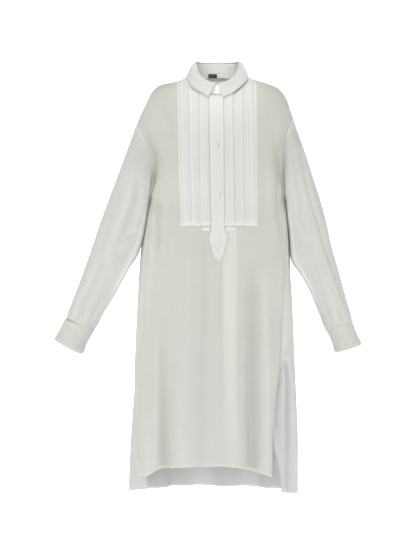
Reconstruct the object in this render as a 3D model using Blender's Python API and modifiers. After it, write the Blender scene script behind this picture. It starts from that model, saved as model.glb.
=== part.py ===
"""A long shirt of sheer voile, worn and filled out, with a tucked bib, a small pointed
collar, turned-back cuffs and side slits. Metres, +Z up, the front faces -Y.
The origin is the middle of the neck base, where the shoulders carry the shirt."""

import math
from collections import namedtuple

import bpy
import numpy as np

# Cloth and seams
CLOTH = 0.0010
COLLAR_CLOTH = 0.0014
STAND_CLOTH = 0.0020
SHOULDER_TRIM = 0.0005
SIDE_TRIM = math.radians(0.1)
SLEEVE_GAP = 0.0015
CUFF_SEAM_GAP, CUFF_SEAM_GROW = 0.0006, 0.0002
LAY_GAP = 0.0004
BIB_TOP_TRIM = 0.0030
PLACKET_SIDE_TRIM = 0.0006
STAND_SEAM_RISE = 0.0016

# The body between the armholes and the hem
UNDERARM = -0.335
BIB_HEM = -0.406
SQUARENESS = 2.3
UPPER_ROWS = 12
ARMHOLE_BLEND, BACK_PLAIN = 1.6, 0.3
HEM_ROWS, HEM_HALF = 8, 0.200
BACK_COLUMNS = 22

# The neck seam and the stand
NECK_HALF = 0.072
NECK_FRONT, NECK_BACK = -0.078, 0.060
NECK_SIDE_HEIGHT, NECK_FRONT_DROP, NECK_BACK_RISE = -0.001, 0.055, 0.001
STAND_TOP_HALF = 0.0585
STAND_TOP_FRONT, STAND_TOP_BACK = -0.0725, 0.050
STAND_SIDE_HEIGHT, STAND_FRONT_DROP, STAND_BACK_RISE = 0.0375, 0.066, 0.004
STAND_LAP = 0.0013
STAND_LAP_TURN = math.radians(7)
RING_STEPS = 40

# The bib, its tucks and the placket
TUCK_LOW, TUCK_HIGH, TUCK_STEP = 0.0012, 0.0026, 0.0010
PLACKET_THICK, TAB_THICK = 0.0029, 0.0018
TAB_TIP = -0.4965
PLEAT_HEAD_TOP, PLEAT_HEAD_BOTTOM = -0.4066, -0.4190

# Buttons and the label
BUTTON_RADIUS, BUTTON_THICK = 0.0045, 0.0020
NECK_BUTTON_HEIGHT, STAND_BUTTON_HEIGHT, STAND_BUTTON_X = -0.0428, 0.0215, 0.0035
LABEL_LOW, LABEL_HIGH, LABEL_THICK = 0.0035, 0.0150, 0.0010

BODY = namedtuple("BodyRow", "z right left front back")
BODY_ROWS = (
    BODY(-0.335, 0.1826, 0.1826, 0.110, 0.106),
    BODY(-0.370, 0.1895, 0.1865, 0.112, 0.107),
    BODY(-0.420, 0.1990, 0.1925, 0.114, 0.108),
    BODY(-0.461, 0.2055, 0.1950, 0.115, 0.110),
    BODY(-0.531, 0.2105, 0.1970, 0.117, 0.112),
    BODY(-0.600, 0.2145, 0.2013, 0.118, 0.114),
    BODY(-0.663, 0.2180, 0.2035, 0.119, 0.116),
    BODY(-0.764, 0.2225, 0.2075, 0.121, 0.119),
    BODY(-0.875, 0.2320, 0.2120, 0.123, 0.122),
    BODY(-0.986, 0.2380, 0.2160, 0.124, 0.124),
    BODY(-1.130, 0.2415, 0.2175, 0.125, 0.126),
)

# Where the side seams and, below the slits, the panels' edges lie, in degrees from the front
EDGE = namedtuple("EdgeRow", "z right_front right_back left_front left_back")
EDGE_ROWS = (
    EDGE(-0.335, 90.0, 90.0, 90.0, 90.0),
    EDGE(-0.406, 73.0, 73.0, 76.0, 76.0),
    EDGE(-0.461, 66.0, 66.0, 68.0, 68.0),
    EDGE(-0.550, 64.5, 64.5, 61.5, 61.5),
    EDGE(-0.630, 65.5, 65.5, 57.0, 57.0),
    EDGE(-0.700, 67.5, 67.5, 53.5, 53.5),
    EDGE(-0.745, 69.0, 69.0, 51.0, 51.0),
    EDGE(-0.785, 70.0, 70.0, 48.5, 48.8),
    EDGE(-0.830, 71.5, 71.5, 45.5, 44.0),
    EDGE(-0.880, 72.0, 69.0, 42.0, 40.0),
    EDGE(-0.960, 71.0, 62.5, 39.5, 40.0),
    EDGE(-1.000, 67.5, 58.0, 39.0, 42.5),
    EDGE(-1.050, 61.5, 53.0, 38.5, 47.0),
    EDGE(-1.080, 58.0, 50.0, 38.0, 49.0),
    EDGE(-1.130, 58.0, 47.5, 38.0, 51.0),
)

# The heights of the cross rows at the wearer's right and left edges, the last one at the slits
CROSS = namedtuple("CrossRow", "right left")
CROSS_ROWS = (
    CROSS(-0.370, -0.370),
    CROSS(BIB_HEM, BIB_HEM),
    CROSS(-0.445, -0.444),
    CROSS(-0.495, -0.490),
    CROSS(-0.550, -0.540),
    CROSS(-0.610, -0.592),
    CROSS(-0.670, -0.645),
    CROSS(-0.730, -0.697),
    CROSS(-0.785, -0.745),
)

# The front hem by its place across, and the back hem by its angle from the front
HEM = namedtuple("HemRow", "place z")
FRONT_HEM = (
    HEM(-0.207, -1.0715),
    HEM(-0.182, -1.0690),
    HEM(-0.134, -1.0444),
    HEM(-0.060, -1.0385),
    HEM(0.007, -1.0370),
    HEM(0.071, -1.0438),
    HEM(0.107, -1.0548),
    HEM(0.145, -1.0670),
)
BACK_HEM = (
    HEM(50.0, -1.1110),
    HEM(90.0, -1.1210),
    HEM(130.0, -1.1215),
    HEM(180.0, -1.1195),
    HEM(214.0, -1.1160),
    HEM(232.0, -1.1200),
    HEM(270.0, -1.1150),
    HEM(312.0, -1.1010),
)

# Shoulder line from the neck to the top of each sleeve
SHOULDER = namedtuple("ShoulderRow", "x right left")
SHOULDER_ROWS = (
    SHOULDER(0.072, -0.0010, -0.0010),
    SHOULDER(0.110, -0.0120, -0.0105),
    SHOULDER(0.138, -0.0175, -0.0185),
    SHOULDER(0.156, -0.0215, -0.0255),
    SHOULDER(0.172, -0.0330, -0.0360),
    SHOULDER(0.186, -0.0550, -0.0560),
    SHOULDER(0.196, -0.0760, -0.0800),
    SHOULDER(0.204, -0.0940, -0.1070),
    SHOULDER(0.212, -0.1110, -0.1330),
    SHOULDER(0.220, -0.1280, -0.1600),
)

# How squarely a column rounds over from the chest or the back to its top, by its place across
ROUNDING = namedtuple("RoundingRow", "x front back")
ROUNDING_ROWS = (
    ROUNDING(0.000, 1.50, 1.5),
    ROUNDING(0.030, 1.55, 1.6),
    ROUNDING(0.055, 1.90, 1.9),
    ROUNDING(0.076, 2.15, 2.7),
    ROUNDING(0.110, 2.40, 2.7),
    ROUNDING(0.220, 2.30, 2.3),
)

# Lines down the front: the bib's edges, tucks and placket, from the top to the hem
LINE = namedtuple("FrontLine", "name top bib hem")
FRONT_LINES = (
    LINE("bib_edge_right", -0.1090, -0.0985, -0.1000),
    LINE("strip_right", -0.1000, -0.0905, -0.0900),
    LINE("tuck_2_right", -0.0765, -0.0670, -0.0620),
    LINE("neck_turn_right", -0.0655, -0.0575, -0.0500),
    LINE("neck_bend_right", -0.0570, -0.0512, -0.0420),
    LINE("tuck_1_right", -0.0480, -0.0446, -0.0340),
    LINE("placket_right", -0.0235, -0.0168, -0.0060),
    LINE("centre", -0.0045, 0.0003, 0.0180),
    LINE("placket_left", 0.0145, 0.0172, 0.0420),
    LINE("tuck_1_left", 0.0395, 0.0434, 0.0600),
    LINE("neck_bend_left", 0.0530, 0.0560, 0.0700),
    LINE("tuck_2_left", 0.0645, 0.0688, 0.0790),
    LINE("neck_turn_left", 0.0770, 0.0800, 0.0880),
    LINE("strip_left", 0.0920, 0.0962, 0.0975),
    LINE("bib_edge_left", 0.1040, 0.1050, 0.1080),
)
LINE_INDEX = {line.name: number for number, line in enumerate(FRONT_LINES)}
SIDE_STEPS = (0.18, 0.38, 0.59, 0.80, 1.0)

# Soft folds: a ridge where the rise is positive, a trough where it is negative
FOLD = namedtuple("Fold", "start end x_start x_end width rise_start rise_end")
FRONT_FOLDS = (
    FOLD(-0.42, -1.04, 0.030, 0.052, 0.014, 0.0020, 0.0065),
    FOLD(-0.50, -1.05, 0.078, 0.090, 0.017, -0.0010, -0.0130),
    FOLD(-0.45, -1.05, 0.118, 0.122, 0.020, 0.0020, 0.0080),
    FOLD(-0.70, -1.06, -0.132, -0.141, 0.020, 0.0000, -0.0200),
    FOLD(-0.62, -1.06, -0.168, -0.180, 0.018, 0.0000, 0.0050),
    FOLD(-0.45, -1.04, -0.092, -0.096, 0.022, 0.0020, 0.0070),
    FOLD(-0.50, -1.04, -0.040, -0.036, 0.020, 0.0000, -0.0040),
)
BACK_FOLDS = (
    FOLD(-0.20, -1.12, -0.040, -0.050, 0.024, 0.0030, 0.0110),
    FOLD(-0.30, -1.12, -0.092, -0.100, 0.020, -0.0020, -0.0090),
    FOLD(-0.80, -1.12, -0.158, -0.158, 0.026, 0.0000, -0.0360),
    FOLD(-0.25, -1.12, 0.020, 0.012, 0.022, -0.0030, -0.0120),
    FOLD(-0.18, -1.12, 0.072, 0.082, 0.024, 0.0030, 0.0120),
    FOLD(-0.35, -1.12, 0.125, 0.140, 0.022, -0.0020, -0.0130),
)

# Each sleeve by its outer and inner edge seen from the front, and its half depths
SLEEVE = namedtuple("SleeveRow", "t outer_x outer_z inner_x inner_z front back")
SLEEVE_RIGHT = (
    SLEEVE(0.00, 0.2200, -0.1280, 0.1830, -0.3350, 0.066, 0.069),
    SLEEVE(0.12, 0.2400, -0.1830, 0.1915, -0.3720, 0.069, 0.071),
    SLEEVE(0.28, 0.2750, -0.2810, 0.2020, -0.4310, 0.067, 0.069),
    SLEEVE(0.42, 0.3130, -0.3860, 0.2165, -0.4780, 0.063, 0.065),
    SLEEVE(0.56, 0.3350, -0.4510, 0.2400, -0.5240, 0.057, 0.059),
    SLEEVE(0.70, 0.3590, -0.5160, 0.2670, -0.5720, 0.051, 0.054),
    SLEEVE(0.83, 0.3830, -0.5790, 0.2930, -0.6150, 0.047, 0.050),
    SLEEVE(0.92, 0.3960, -0.6140, 0.3100, -0.6420, 0.044, 0.046),
    SLEEVE(1.00, 0.4050, -0.6470, 0.3230, -0.6640, 0.0405, 0.0415),
)
SLEEVE_LEFT = (
    SLEEVE(0.00, 0.2040, -0.1070, 0.1830, -0.3350, 0.066, 0.069),
    SLEEVE(0.12, 0.2245, -0.1660, 0.1883, -0.3720, 0.069, 0.071),
    SLEEVE(0.28, 0.2570, -0.2660, 0.1950, -0.4330, 0.067, 0.069),
    SLEEVE(0.42, 0.2900, -0.3740, 0.1995, -0.4920, 0.063, 0.065),
    SLEEVE(0.56, 0.3065, -0.4550, 0.2225, -0.5350, 0.057, 0.059),
    SLEEVE(0.70, 0.3280, -0.5270, 0.2490, -0.5810, 0.051, 0.054),
    SLEEVE(0.83, 0.3450, -0.5860, 0.2660, -0.6220, 0.047, 0.050),
    SLEEVE(0.92, 0.3550, -0.6200, 0.2785, -0.6490, 0.044, 0.046),
    SLEEVE(1.00, 0.3610, -0.6540, 0.2900, -0.6730, 0.0405, 0.0415),
)
# How far the armhole curves in over the chest and over the back, by the sleeve's side
SCOOP_FRONT = {-1: 0.028, 1: 0.021}
SCOOP_BACK = {-1: 0.018, 1: 0.015}

# Each cuff by the ends of its edges seen from the front: the turned-back layer's top and the foot
CUFF = namedtuple("Cuff", "top_outer top_inner foot_outer foot_inner depth layer_gap")
CUFF_RIGHT = CUFF(
    top_outer=(0.4145, -0.6515),
    top_inner=(0.3330, -0.6790),
    foot_outer=(0.4400, -0.7090),
    foot_inner=(0.3650, -0.7470),
    depth=0.0440,
    layer_gap=0.0028,
)
CUFF_LEFT = CUFF(
    top_outer=(0.3675, -0.6660),
    top_inner=(0.2945, -0.6880),
    foot_outer=(0.3885, -0.7210),
    foot_inner=(0.3186, -0.7430),
    depth=0.0430,
    layer_gap=0.0026,
)
CUFF_STEPS = 20

# The collar leaf's outer edge, by its angle round the neck
LEAF = namedtuple("LeafRow", "angle x y z")
LEAF_RIGHT = (
    LEAF(5.0, 0.0255, -0.0880, -0.0637),
    LEAF(24.0, 0.0460, -0.0800, -0.0490),
    LEAF(38.0, 0.0595, -0.0735, -0.0410),
    LEAF(54.0, 0.0730, -0.0600, -0.0265),
    LEAF(70.0, 0.0810, -0.0370, -0.0100),
    LEAF(90.0, 0.0845, -0.0080, 0.0015),
    LEAF(135.0, 0.0620, 0.0500, -0.0010),
    LEAF(180.0, 0.0000, 0.0725, -0.0015),
)
LEAF_LEFT = (
    LEAF(1.5, 0.0120, -0.0875, -0.0637),
    LEAF(18.0, 0.0310, -0.0835, -0.0560),
    LEAF(34.0, 0.0450, -0.0790, -0.0465),
    LEAF(50.0, 0.0620, -0.0695, -0.0330),
    LEAF(70.0, 0.0790, -0.0400, -0.0120),
    LEAF(90.0, 0.0840, -0.0080, 0.0010),
    LEAF(135.0, 0.0620, 0.0500, -0.0010),
    LEAF(180.0, 0.0000, 0.0725, -0.0015),
)

# The placket and its ogee tab: its edges at each height below the bib
TAB = namedtuple("TabRow", "z right left")
TAB_ROWS = (
    TAB(-0.4200, -0.0185, 0.0200),
    TAB(-0.4300, -0.0225, 0.0250),
    TAB(-0.4370, -0.0238, 0.0268),
    TAB(-0.4440, -0.0225, 0.0250),
    TAB(-0.4540, -0.0172, 0.0198),
    TAB(-0.4640, -0.0150, 0.0176),
    TAB(-0.4740, -0.0138, 0.0164),
    TAB(-0.4830, -0.0115, 0.0142),
    TAB(-0.4900, -0.0075, 0.0104),
    TAB(TAB_TIP, 0.0000, 0.0032),
)

COLOURS = {
    "voile": (0.78, 0.77, 0.73, 1.0),
    "bib_cloth": (0.84, 0.83, 0.79, 1.0),
    "collar_cloth": (0.81, 0.81, 0.78, 1.0),
    "button": (0.86, 0.85, 0.81, 1.0),
    "label": (0.16, 0.11, 0.08, 1.0),
    "size_tab": (0.62, 0.52, 0.42, 1.0),
}
ROUGHNESS = {"button": 0.35}
CLOTH_ROUGHNESS = 0.85


def clear_scene():
    for obj in list(bpy.data.objects):
        bpy.data.objects.remove(obj, do_unlink=True)


def make_collection(name):
    collection = bpy.data.collections.new(name)
    bpy.context.scene.collection.children.link(collection)
    return collection


def make_material(name):
    material = bpy.data.materials.new(name)
    material.use_nodes = True
    shader = material.node_tree.nodes["Principled BSDF"]
    shader.inputs["Base Color"].default_value = COLOURS[name]
    shader.inputs["Roughness"].default_value = ROUGHNESS.get(name, CLOTH_ROUGHNESS)
    shader.inputs["Metallic"].default_value = 0.0
    return material


def along(rows, column, at):
    """A table's column, read smoothly and without overshoot at the given key or keys."""
    keys = np.array([row[0] for row in rows])
    values = np.array([getattr(row, column) for row in rows])
    if keys[0] > keys[-1]:
        keys, values = keys[::-1], values[::-1]
    steps = np.diff(values) / np.diff(keys)
    slopes = np.zeros_like(values)
    for i in range(1, len(values) - 1):
        if steps[i - 1] * steps[i] > 0:
            slopes[i] = 2 * steps[i - 1] * steps[i] / (steps[i - 1] + steps[i])
    slopes[0], slopes[-1] = steps[0], steps[-1]
    at = np.clip(at, keys[0], keys[-1])
    i = np.clip(np.searchsorted(keys, at) - 1, 0, len(keys) - 2)
    span = keys[i + 1] - keys[i]
    t = (at - keys[i]) / span
    start = (1 + 2 * t) * (1 - t) ** 2 * values[i] + t * (1 - t) ** 2 * span * slopes[i]
    end = t**2 * (3 - 2 * t) * values[i + 1] + t**2 * (t - 1) * span * slopes[i + 1]
    return start + end


def mix(a, b, t):
    return a + (b - a) * t


def ease(t):
    t = np.clip(t, 0.0, 1.0)
    return t * t * (3 - 2 * t)


def power(value, exponent):
    return math.copysign(abs(value) ** exponent, value)


def body_point(z, angle, inset=0.0):
    """A point of the body's cross section, at an angle from the front towards the wearer's left."""
    across, forward = math.sin(angle), math.cos(angle)
    half = float(along(BODY_ROWS, "left" if across > 0 else "right", z)) - inset
    depth = float(along(BODY_ROWS, "front" if forward > 0 else "back", z)) - inset
    round_off = 2 / SQUARENESS
    return np.array([half * power(across, round_off), -depth * power(forward, round_off), z])


def angle_at(z, x):
    """The front angle at which the body's cross section passes a place across."""
    half = float(along(BODY_ROWS, "left" if x > 0 else "right", z))
    return math.asin(power(min(abs(x) / half, 1.0), SQUARENESS / 2)) * math.copysign(1, x)


def edge_angle(z, column):
    return math.radians(float(along(EDGE_ROWS, column, z)))


def neck_point(angle):
    forward = math.cos(angle)
    middle = (NECK_FRONT + NECK_BACK) / 2
    reach = (NECK_BACK - NECK_FRONT) / 2
    rise = -NECK_FRONT_DROP * forward if forward > 0 else -NECK_BACK_RISE * forward
    return np.array([NECK_HALF * math.sin(angle), middle - reach * forward, NECK_SIDE_HEIGHT + rise])


def stand_point(angle):
    forward = math.cos(angle)
    middle = (STAND_TOP_FRONT + STAND_TOP_BACK) / 2
    reach = (STAND_TOP_BACK - STAND_TOP_FRONT) / 2
    rise = -STAND_FRONT_DROP * forward if forward > 0 else -STAND_BACK_RISE * forward
    across = STAND_TOP_HALF * math.sin(angle)
    return np.array([across, middle - reach * forward, STAND_SIDE_HEIGHT + rise])


def shoulder_point(x):
    side = "left" if x > 0 else "right"
    end = sleeve_rows(x)[0].outer_x
    t = (abs(x) - NECK_HALF) / (end - NECK_HALF)
    y = mix((NECK_FRONT + NECK_BACK) / 2, 0.010, t)
    return np.array([x, y, float(along(SHOULDER_ROWS, side, abs(x)))])


def sleeve_rows(side):
    return SLEEVE_LEFT if side > 0 else SLEEVE_RIGHT


def armhole_point(side, turn, front):
    """A point of the armhole seam: turn is 0 at the shoulder and pi at the underarm."""
    row = sleeve_rows(side)[0]
    top = np.array([row.outer_x, 0.010, row.outer_z])
    foot = np.array([along(BODY_ROWS, "left", UNDERARM), 0.0, UNDERARM])
    bulge = math.sin(turn)
    point = (top + foot) / 2 + (top - foot) / 2 * math.cos(turn)
    point[0] -= (SCOOP_FRONT if front else SCOOP_BACK)[side] * bulge**2
    point[1] += (-row.front if front else row.back) * bulge
    point[1] += -SHOULDER_TRIM if front else SHOULDER_TRIM
    point[0] *= side
    return point


def panel_column(top, foot, rounding):
    """Points from the top edge down to the underarm level, rounding over near the top."""
    points = []
    for step in range(UPPER_ROWS + 1):
        turn = math.pi / 2 * (1 - step / UPPER_ROWS)
        up = math.sin(turn) ** (2 / rounding)
        out = math.cos(turn) ** (2 / rounding) if step else 0.0
        x, z = mix(foot[0], top[0], up), mix(foot[2], top[2], up)
        points.append([x, mix(top[1], foot[1], out), z])
    return np.array(points)


def armhole_column(side, front):
    turns = [math.pi * step / UPPER_ROWS for step in range(UPPER_ROWS + 1)]
    return np.array([armhole_point(side, turn, front) for turn in turns])


def squareness(face, x_top):
    return float(along(ROUNDING_ROWS, face, abs(x_top)))


def front_top(x):
    if abs(x) >= NECK_HALF:
        return shoulder_point(x) - np.array([0, SHOULDER_TRIM, 0])
    return neck_point(math.asin(x / NECK_HALF))


def upper_front():
    """Columns of the front above the underarm: armhole to armhole."""
    seam = {side: armhole_column(side, True) for side in (-1, 1)}
    columns = []
    lines = {}
    for line in FRONT_LINES:
        top = front_top(line.top)
        t = (BIB_HEM - UNDERARM) / (BIB_HEM - top[2])
        x_foot = mix(line.bib, line.top, t)
        foot = body_point(UNDERARM, angle_at(UNDERARM, x_foot))
        lines[line.name] = panel_column(top, foot, squareness("front", line.top))
    for side, edge, order in ((-1, FRONT_LINES[0], SIDE_STEPS[::-1]), (1, FRONT_LINES[-1], SIDE_STEPS)):
        outer_top = sleeve_rows(side)[0].outer_x * side
        edge_foot = lines[edge.name][-1]
        foot_angle = angle_at(UNDERARM, edge_foot[0])
        rounding = squareness("front", outer_top)
        plain_edge = panel_column(shoulder_point(outer_top), seam[side][-1], rounding)
        side_columns = []
        for q in order:
            top = front_top(mix(edge.top, outer_top, q))
            foot = body_point(UNDERARM, mix(foot_angle, side * math.pi / 2, q))
            column = panel_column(top, foot, squareness("front", top[0]))
            column += (seam[side] - plain_edge) * q**ARMHOLE_BLEND
            side_columns.append(seam[side] if q == 1.0 else column)
        if side < 0:
            columns += side_columns + [lines[line.name] for line in FRONT_LINES]
        else:
            columns += side_columns
    return np.stack(columns, axis=1)


def back_top(x):
    if abs(x) >= NECK_HALF:
        return shoulder_point(x) + np.array([0, SHOULDER_TRIM, 0])
    return neck_point(math.pi - math.asin(x / NECK_HALF))


def upper_back():
    """Columns of the back above the underarm, from the wearer's left armhole to the right one."""
    seam = {side: armhole_column(side, False) for side in (-1, 1)}
    columns = []
    for number in range(BACK_COLUMNS + 1):
        q = 1 - 2 * number / BACK_COLUMNS
        side = 1 if q > 0 else -1
        outer_top = sleeve_rows(side)[0].outer_x
        if abs(q) == 1.0:
            columns.append(seam[side])
            continue
        top = back_top(outer_top * q)
        foot = body_point(UNDERARM, math.pi - q * math.pi / 2)
        column = panel_column(top, foot, squareness("back", outer_top * q))
        rounding = squareness("back", outer_top)
        plain_edge = panel_column(shoulder_point(outer_top * side), seam[side][-1], rounding)
        blend = max(0.0, (abs(q) - BACK_PLAIN) / (1 - BACK_PLAIN)) ** ARMHOLE_BLEND
        columns.append(column + (seam[side] - plain_edge) * blend)
    return np.stack(columns, axis=1)


def row_heights(place, hem):
    """The heights of a column's cross rows below the underarm: place runs from -1 right to 1 left."""
    t = (place + 1) / 2
    heights = [mix(row.right, row.left, t) for row in CROSS_ROWS]
    slit = heights[-1]
    heights += [mix(slit, hem, (step / HEM_ROWS) ** 0.9) for step in range(1, HEM_ROWS + 1)]
    return heights


def front_line_x(line, z):
    hem = FRONT_HEM[4].z
    if z > BIB_HEM:
        return mix(line.bib, line.top, (z - BIB_HEM) / (0 - BIB_HEM))
    return mix(line.bib, line.hem, min((BIB_HEM - z) / (BIB_HEM - hem), 1.0))


def lower_front():
    columns = []
    places = [(-1, FRONT_LINES[0], q) for q in SIDE_STEPS[::-1]]
    places += [(0, line, 0.0) for line in FRONT_LINES]
    places += [(1, FRONT_LINES[-1], q) for q in SIDE_STEPS]
    for side, line, q in places:
        corner = FRONT_HEM[-1].place if side > 0 else FRONT_HEM[0].place
        across = mix(line.hem / HEM_HALF, side, q)
        foot_x = mix(line.hem, corner, q)
        points = []
        for z in row_heights(across, float(along(FRONT_HEM, "z", foot_x))):
            edge = edge_angle(z, "right_front" if side < 0 else "left_front") - SIDE_TRIM
            angle = mix(angle_at(z, front_line_x(line, z)), side * edge, q)
            points.append(body_point(z, angle))
        columns.append(np.array(points))
    return np.stack(columns, axis=1)


def slit_inset(z, slit, near):
    """How far the back panel's edge lies inside the front panel's, below a slit."""
    return 0.0050 * ease((slit - z) / 0.035) * ease((45 - near) / 25)


def lower_back():
    columns = []
    for number in range(BACK_COLUMNS + 1):
        q = number / BACK_COLUMNS
        points = []
        for z in row_heights(1 - 2 * q, float(along(BACK_HEM, "z", mix(50, 312, q)))):
            left = math.degrees(edge_angle(z, "left_back") + SIDE_TRIM)
            right = 360 - math.degrees(edge_angle(z, "right_back") + SIDE_TRIM)
            angle = mix(left, right, q)
            inset = slit_inset(z, CROSS_ROWS[-1].left, angle - left)
            inset += slit_inset(z, CROSS_ROWS[-1].right, right - angle)
            points.append(body_point(z, math.radians(angle), inset))
        columns.append(np.array(points))
    return np.stack(columns, axis=1)


def grid_normals(grid, closed=False):
    """Unit normals of a grid whose rows run down and whose columns run with the angle."""
    if closed:
        across = np.roll(grid, -1, axis=1) - np.roll(grid, 1, axis=1)
    else:
        across = np.gradient(grid, axis=1)
    down = np.gradient(grid, axis=0)
    normals = np.cross(down, across)
    return normals / np.linalg.norm(normals, axis=2, keepdims=True)


def fold_lift(folds, x, z):
    lift = np.zeros_like(x)
    for fold in folds:
        t = np.clip((fold.start - z) / (fold.start - fold.end), 0, 1)
        centre = mix(fold.x_start, fold.x_end, t)
        rise = mix(fold.rise_start, fold.rise_end, t) * ease((fold.start - z) / 0.08)
        lift += rise * np.exp(-(((x - centre) / fold.width) ** 2))
    return lift


def add_folds(grid, folds, front):
    x, z = grid[..., 0], grid[..., 2]
    columns = grid.shape[1]
    from_edge = np.minimum(np.arange(columns), np.arange(columns)[::-1])
    fade = ease(from_edge / 3.0)[None, :]
    on_side = (grid[..., 1] < 0) if front else (grid[..., 1] > 0)
    lift = fold_lift(folds, x, z) * fade * on_side
    return grid + grid_normals(grid) * lift[..., None]


def front_grid():
    return add_folds(np.concatenate([upper_front(), lower_front()]), FRONT_FOLDS, True)


def back_grid():
    return add_folds(np.concatenate([upper_back(), lower_back()]), BACK_FOLDS, False)


def triangles(rows, columns, closed=False):
    faces = []
    for r in range(rows - 1):
        for c in range(columns if closed else columns - 1):
            n = (c + 1) % columns
            upper, lower = r * columns, (r + 1) * columns
            faces.append((upper + c, lower + c, lower + n))
            faces.append((upper + c, lower + n, upper + n))
    return faces


def link_mesh(name, points, faces, material, collection):
    mesh = bpy.data.meshes.new(name)
    mesh.from_pydata([tuple(map(float, point)) for point in points], [], faces)
    mesh.materials.append(material)
    mesh.shade_smooth()
    obj = bpy.data.objects.new(name, mesh)
    collection.objects.link(obj)
    return obj


def cloth_sheet(name, grid, material, collection, thickness=CLOTH, closed=False, flip=False):
    """A grid of surface points as a sheet whose wall lies on its inner side."""
    rows, columns = grid.shape[:2]
    faces = triangles(rows, columns, closed)
    if flip:
        faces = [face[::-1] for face in faces]
    obj = link_mesh(name, grid.reshape(-1, 3), faces, material, collection)
    wall = obj.modifiers.new("Wall", "SOLIDIFY")
    wall.thickness = thickness
    wall.offset = -1.0
    wall.use_even_offset = False
    return obj


def layered_piece(name, inner, outer, material, collection):
    """A piece laid on a panel: a plain inner face and its own outer face, closed round the edge."""
    rows, columns = inner.shape[:2]
    count = rows * columns
    faces = triangles(rows, columns)
    faces += [tuple(count + i for i in face[::-1]) for face in triangles(rows, columns)]
    top = list(range(columns))
    right = [r * columns + columns - 1 for r in range(1, rows)]
    bottom = [(rows - 1) * columns + c for c in range(columns - 2, -1, -1)]
    left = [r * columns for r in range(rows - 2, 0, -1)]
    rim = top + right + bottom + left
    for here, there in zip(rim, rim[1:] + rim[:1]):
        faces.append((here, there, count + there, count + here))
    points = np.concatenate([outer.reshape(-1, 3), inner.reshape(-1, 3)])
    return link_mesh(name, points, faces, material, collection)


def line_column(name):
    return len(SIDE_STEPS) + LINE_INDEX[name]


def lower_top(points):
    """The column with its top moved down a little, clear of the stand's seam."""
    points = points.copy()
    first = points[1] - points[0]
    points[0] += first * min(BIB_TOP_TRIM / np.linalg.norm(first), 0.8)
    return points


def build_bib(name, grid, normals, tucks, material, collection):
    """Half a bib between two front lines; each tuck rises to its fold and then steps down."""
    last = UPPER_ROWS + 2
    inner, outer = [], []
    for start, end, inside in tucks:
        for number in range(len(inside) + 2):
            names = (start,) + inside + (end,)
            column = line_column(names[number])
            points, out = grid[: last + 1, column], normals[: last + 1, column]
            share = number / (len(names) - 1)
            if number == 0:
                toward = line_column(names[1])
                reach = np.linalg.norm(grid[last, toward] - points[last])
                share_in = (TUCK_STEP if inner else PLACKET_SIDE_TRIM) / reach
                points = mix(points, grid[: last + 1, toward], share_in)
                out = mix(out, normals[: last + 1, toward], share_in)
            points = lower_top(points)
            lift = mix(TUCK_LOW, TUCK_HIGH, share)
            inner.append(points + out * LAY_GAP)
            outer.append(points + out * (LAY_GAP + lift))
    inner, outer = np.stack(inner, axis=1), np.stack(outer, axis=1)
    if grid[0, line_column(tucks[0][0]), 0] > grid[0, line_column(tucks[-1][1]), 0]:
        inner, outer = inner[:, ::-1], outer[:, ::-1]
    return layered_piece(name, inner, outer, material, collection)


def on_front(grid, x, z):
    """The front panel's surface point at a place across and a height."""
    xs, ys = [], []
    for column in range(grid.shape[1]):
        heights = grid[::-1, column, 2]
        xs.append(np.interp(z, heights, grid[::-1, column, 0]))
        ys.append(np.interp(z, heights, grid[::-1, column, 1]))
    order = np.argsort(xs)
    return np.array([x, np.interp(x, np.array(xs)[order], np.array(ys)[order]), z])


def front_normal(grid, x, z, reach=0.004):
    by_x = (on_front(grid, x + reach, z) - on_front(grid, x - reach, z))[1] / (2 * reach)
    by_z = (on_front(grid, x, z + reach) - on_front(grid, x, z - reach))[1] / (2 * reach)
    normal = np.array([by_x, -1.0, by_z])
    return normal / np.linalg.norm(normal)


def lay_rows(grid, rows, shares, thickness):
    """Inner and outer points of a piece laid on the front, from rows of height and two edges."""
    inner, outer = [], []
    for number, (z, right, left) in enumerate(rows):
        thick = thickness(number, z)
        for share in shares:
            x = mix(right, left, share)
            point, normal = on_front(grid, x, z), front_normal(grid, x, z)
            inner.append(point + normal * LAY_GAP)
            outer.append(point + normal * (LAY_GAP + thick))
    shape = (len(rows), len(shares), 3)
    return np.array(inner).reshape(shape), np.array(outer).reshape(shape)


def build_placket(grid, normals, material, collection):
    shares = (0.0, 0.5, 1.0)
    columns = [line_column(name) for name in ("placket_right", "centre", "placket_left")]
    last = UPPER_ROWS + 2
    upper = np.stack([lower_top(grid[: last + 1, column]) for column in columns], axis=1)
    out = normals[: last + 1, columns]
    inner_tab, outer_tab = lay_rows(grid, TAB_ROWS, shares, lambda number, z: TAB_THICK)
    inner = np.concatenate([upper + out * LAY_GAP, inner_tab])
    outer = np.concatenate([upper + out * (LAY_GAP + PLACKET_THICK), outer_tab])
    layered_piece("placket", inner, outer, material, collection)


def build_pleat_heads(grid, material, collection):
    heads = (("pleat_head_right", -0.0420, -0.0195), ("pleat_head_left", 0.0210, 0.0515))
    for name, right, left in heads:
        rows = [(PLEAT_HEAD_TOP, right, left), (PLEAT_HEAD_BOTTOM, right, left)]
        inner, outer = lay_rows(grid, rows, (0.0, 0.5, 1.0), lambda number, z: CLOTH)
        layered_piece(name, inner, outer, material, collection)


def section(centre, along_width, half, front, back, turn):
    """A point of a sleeve's oval: turn is 0 at its outer edge and grows round the front."""
    depth = front if math.sin(turn) > 0 else back
    return centre + along_width * half * math.cos(turn) - np.array([0, depth * math.sin(turn), 0])


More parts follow.
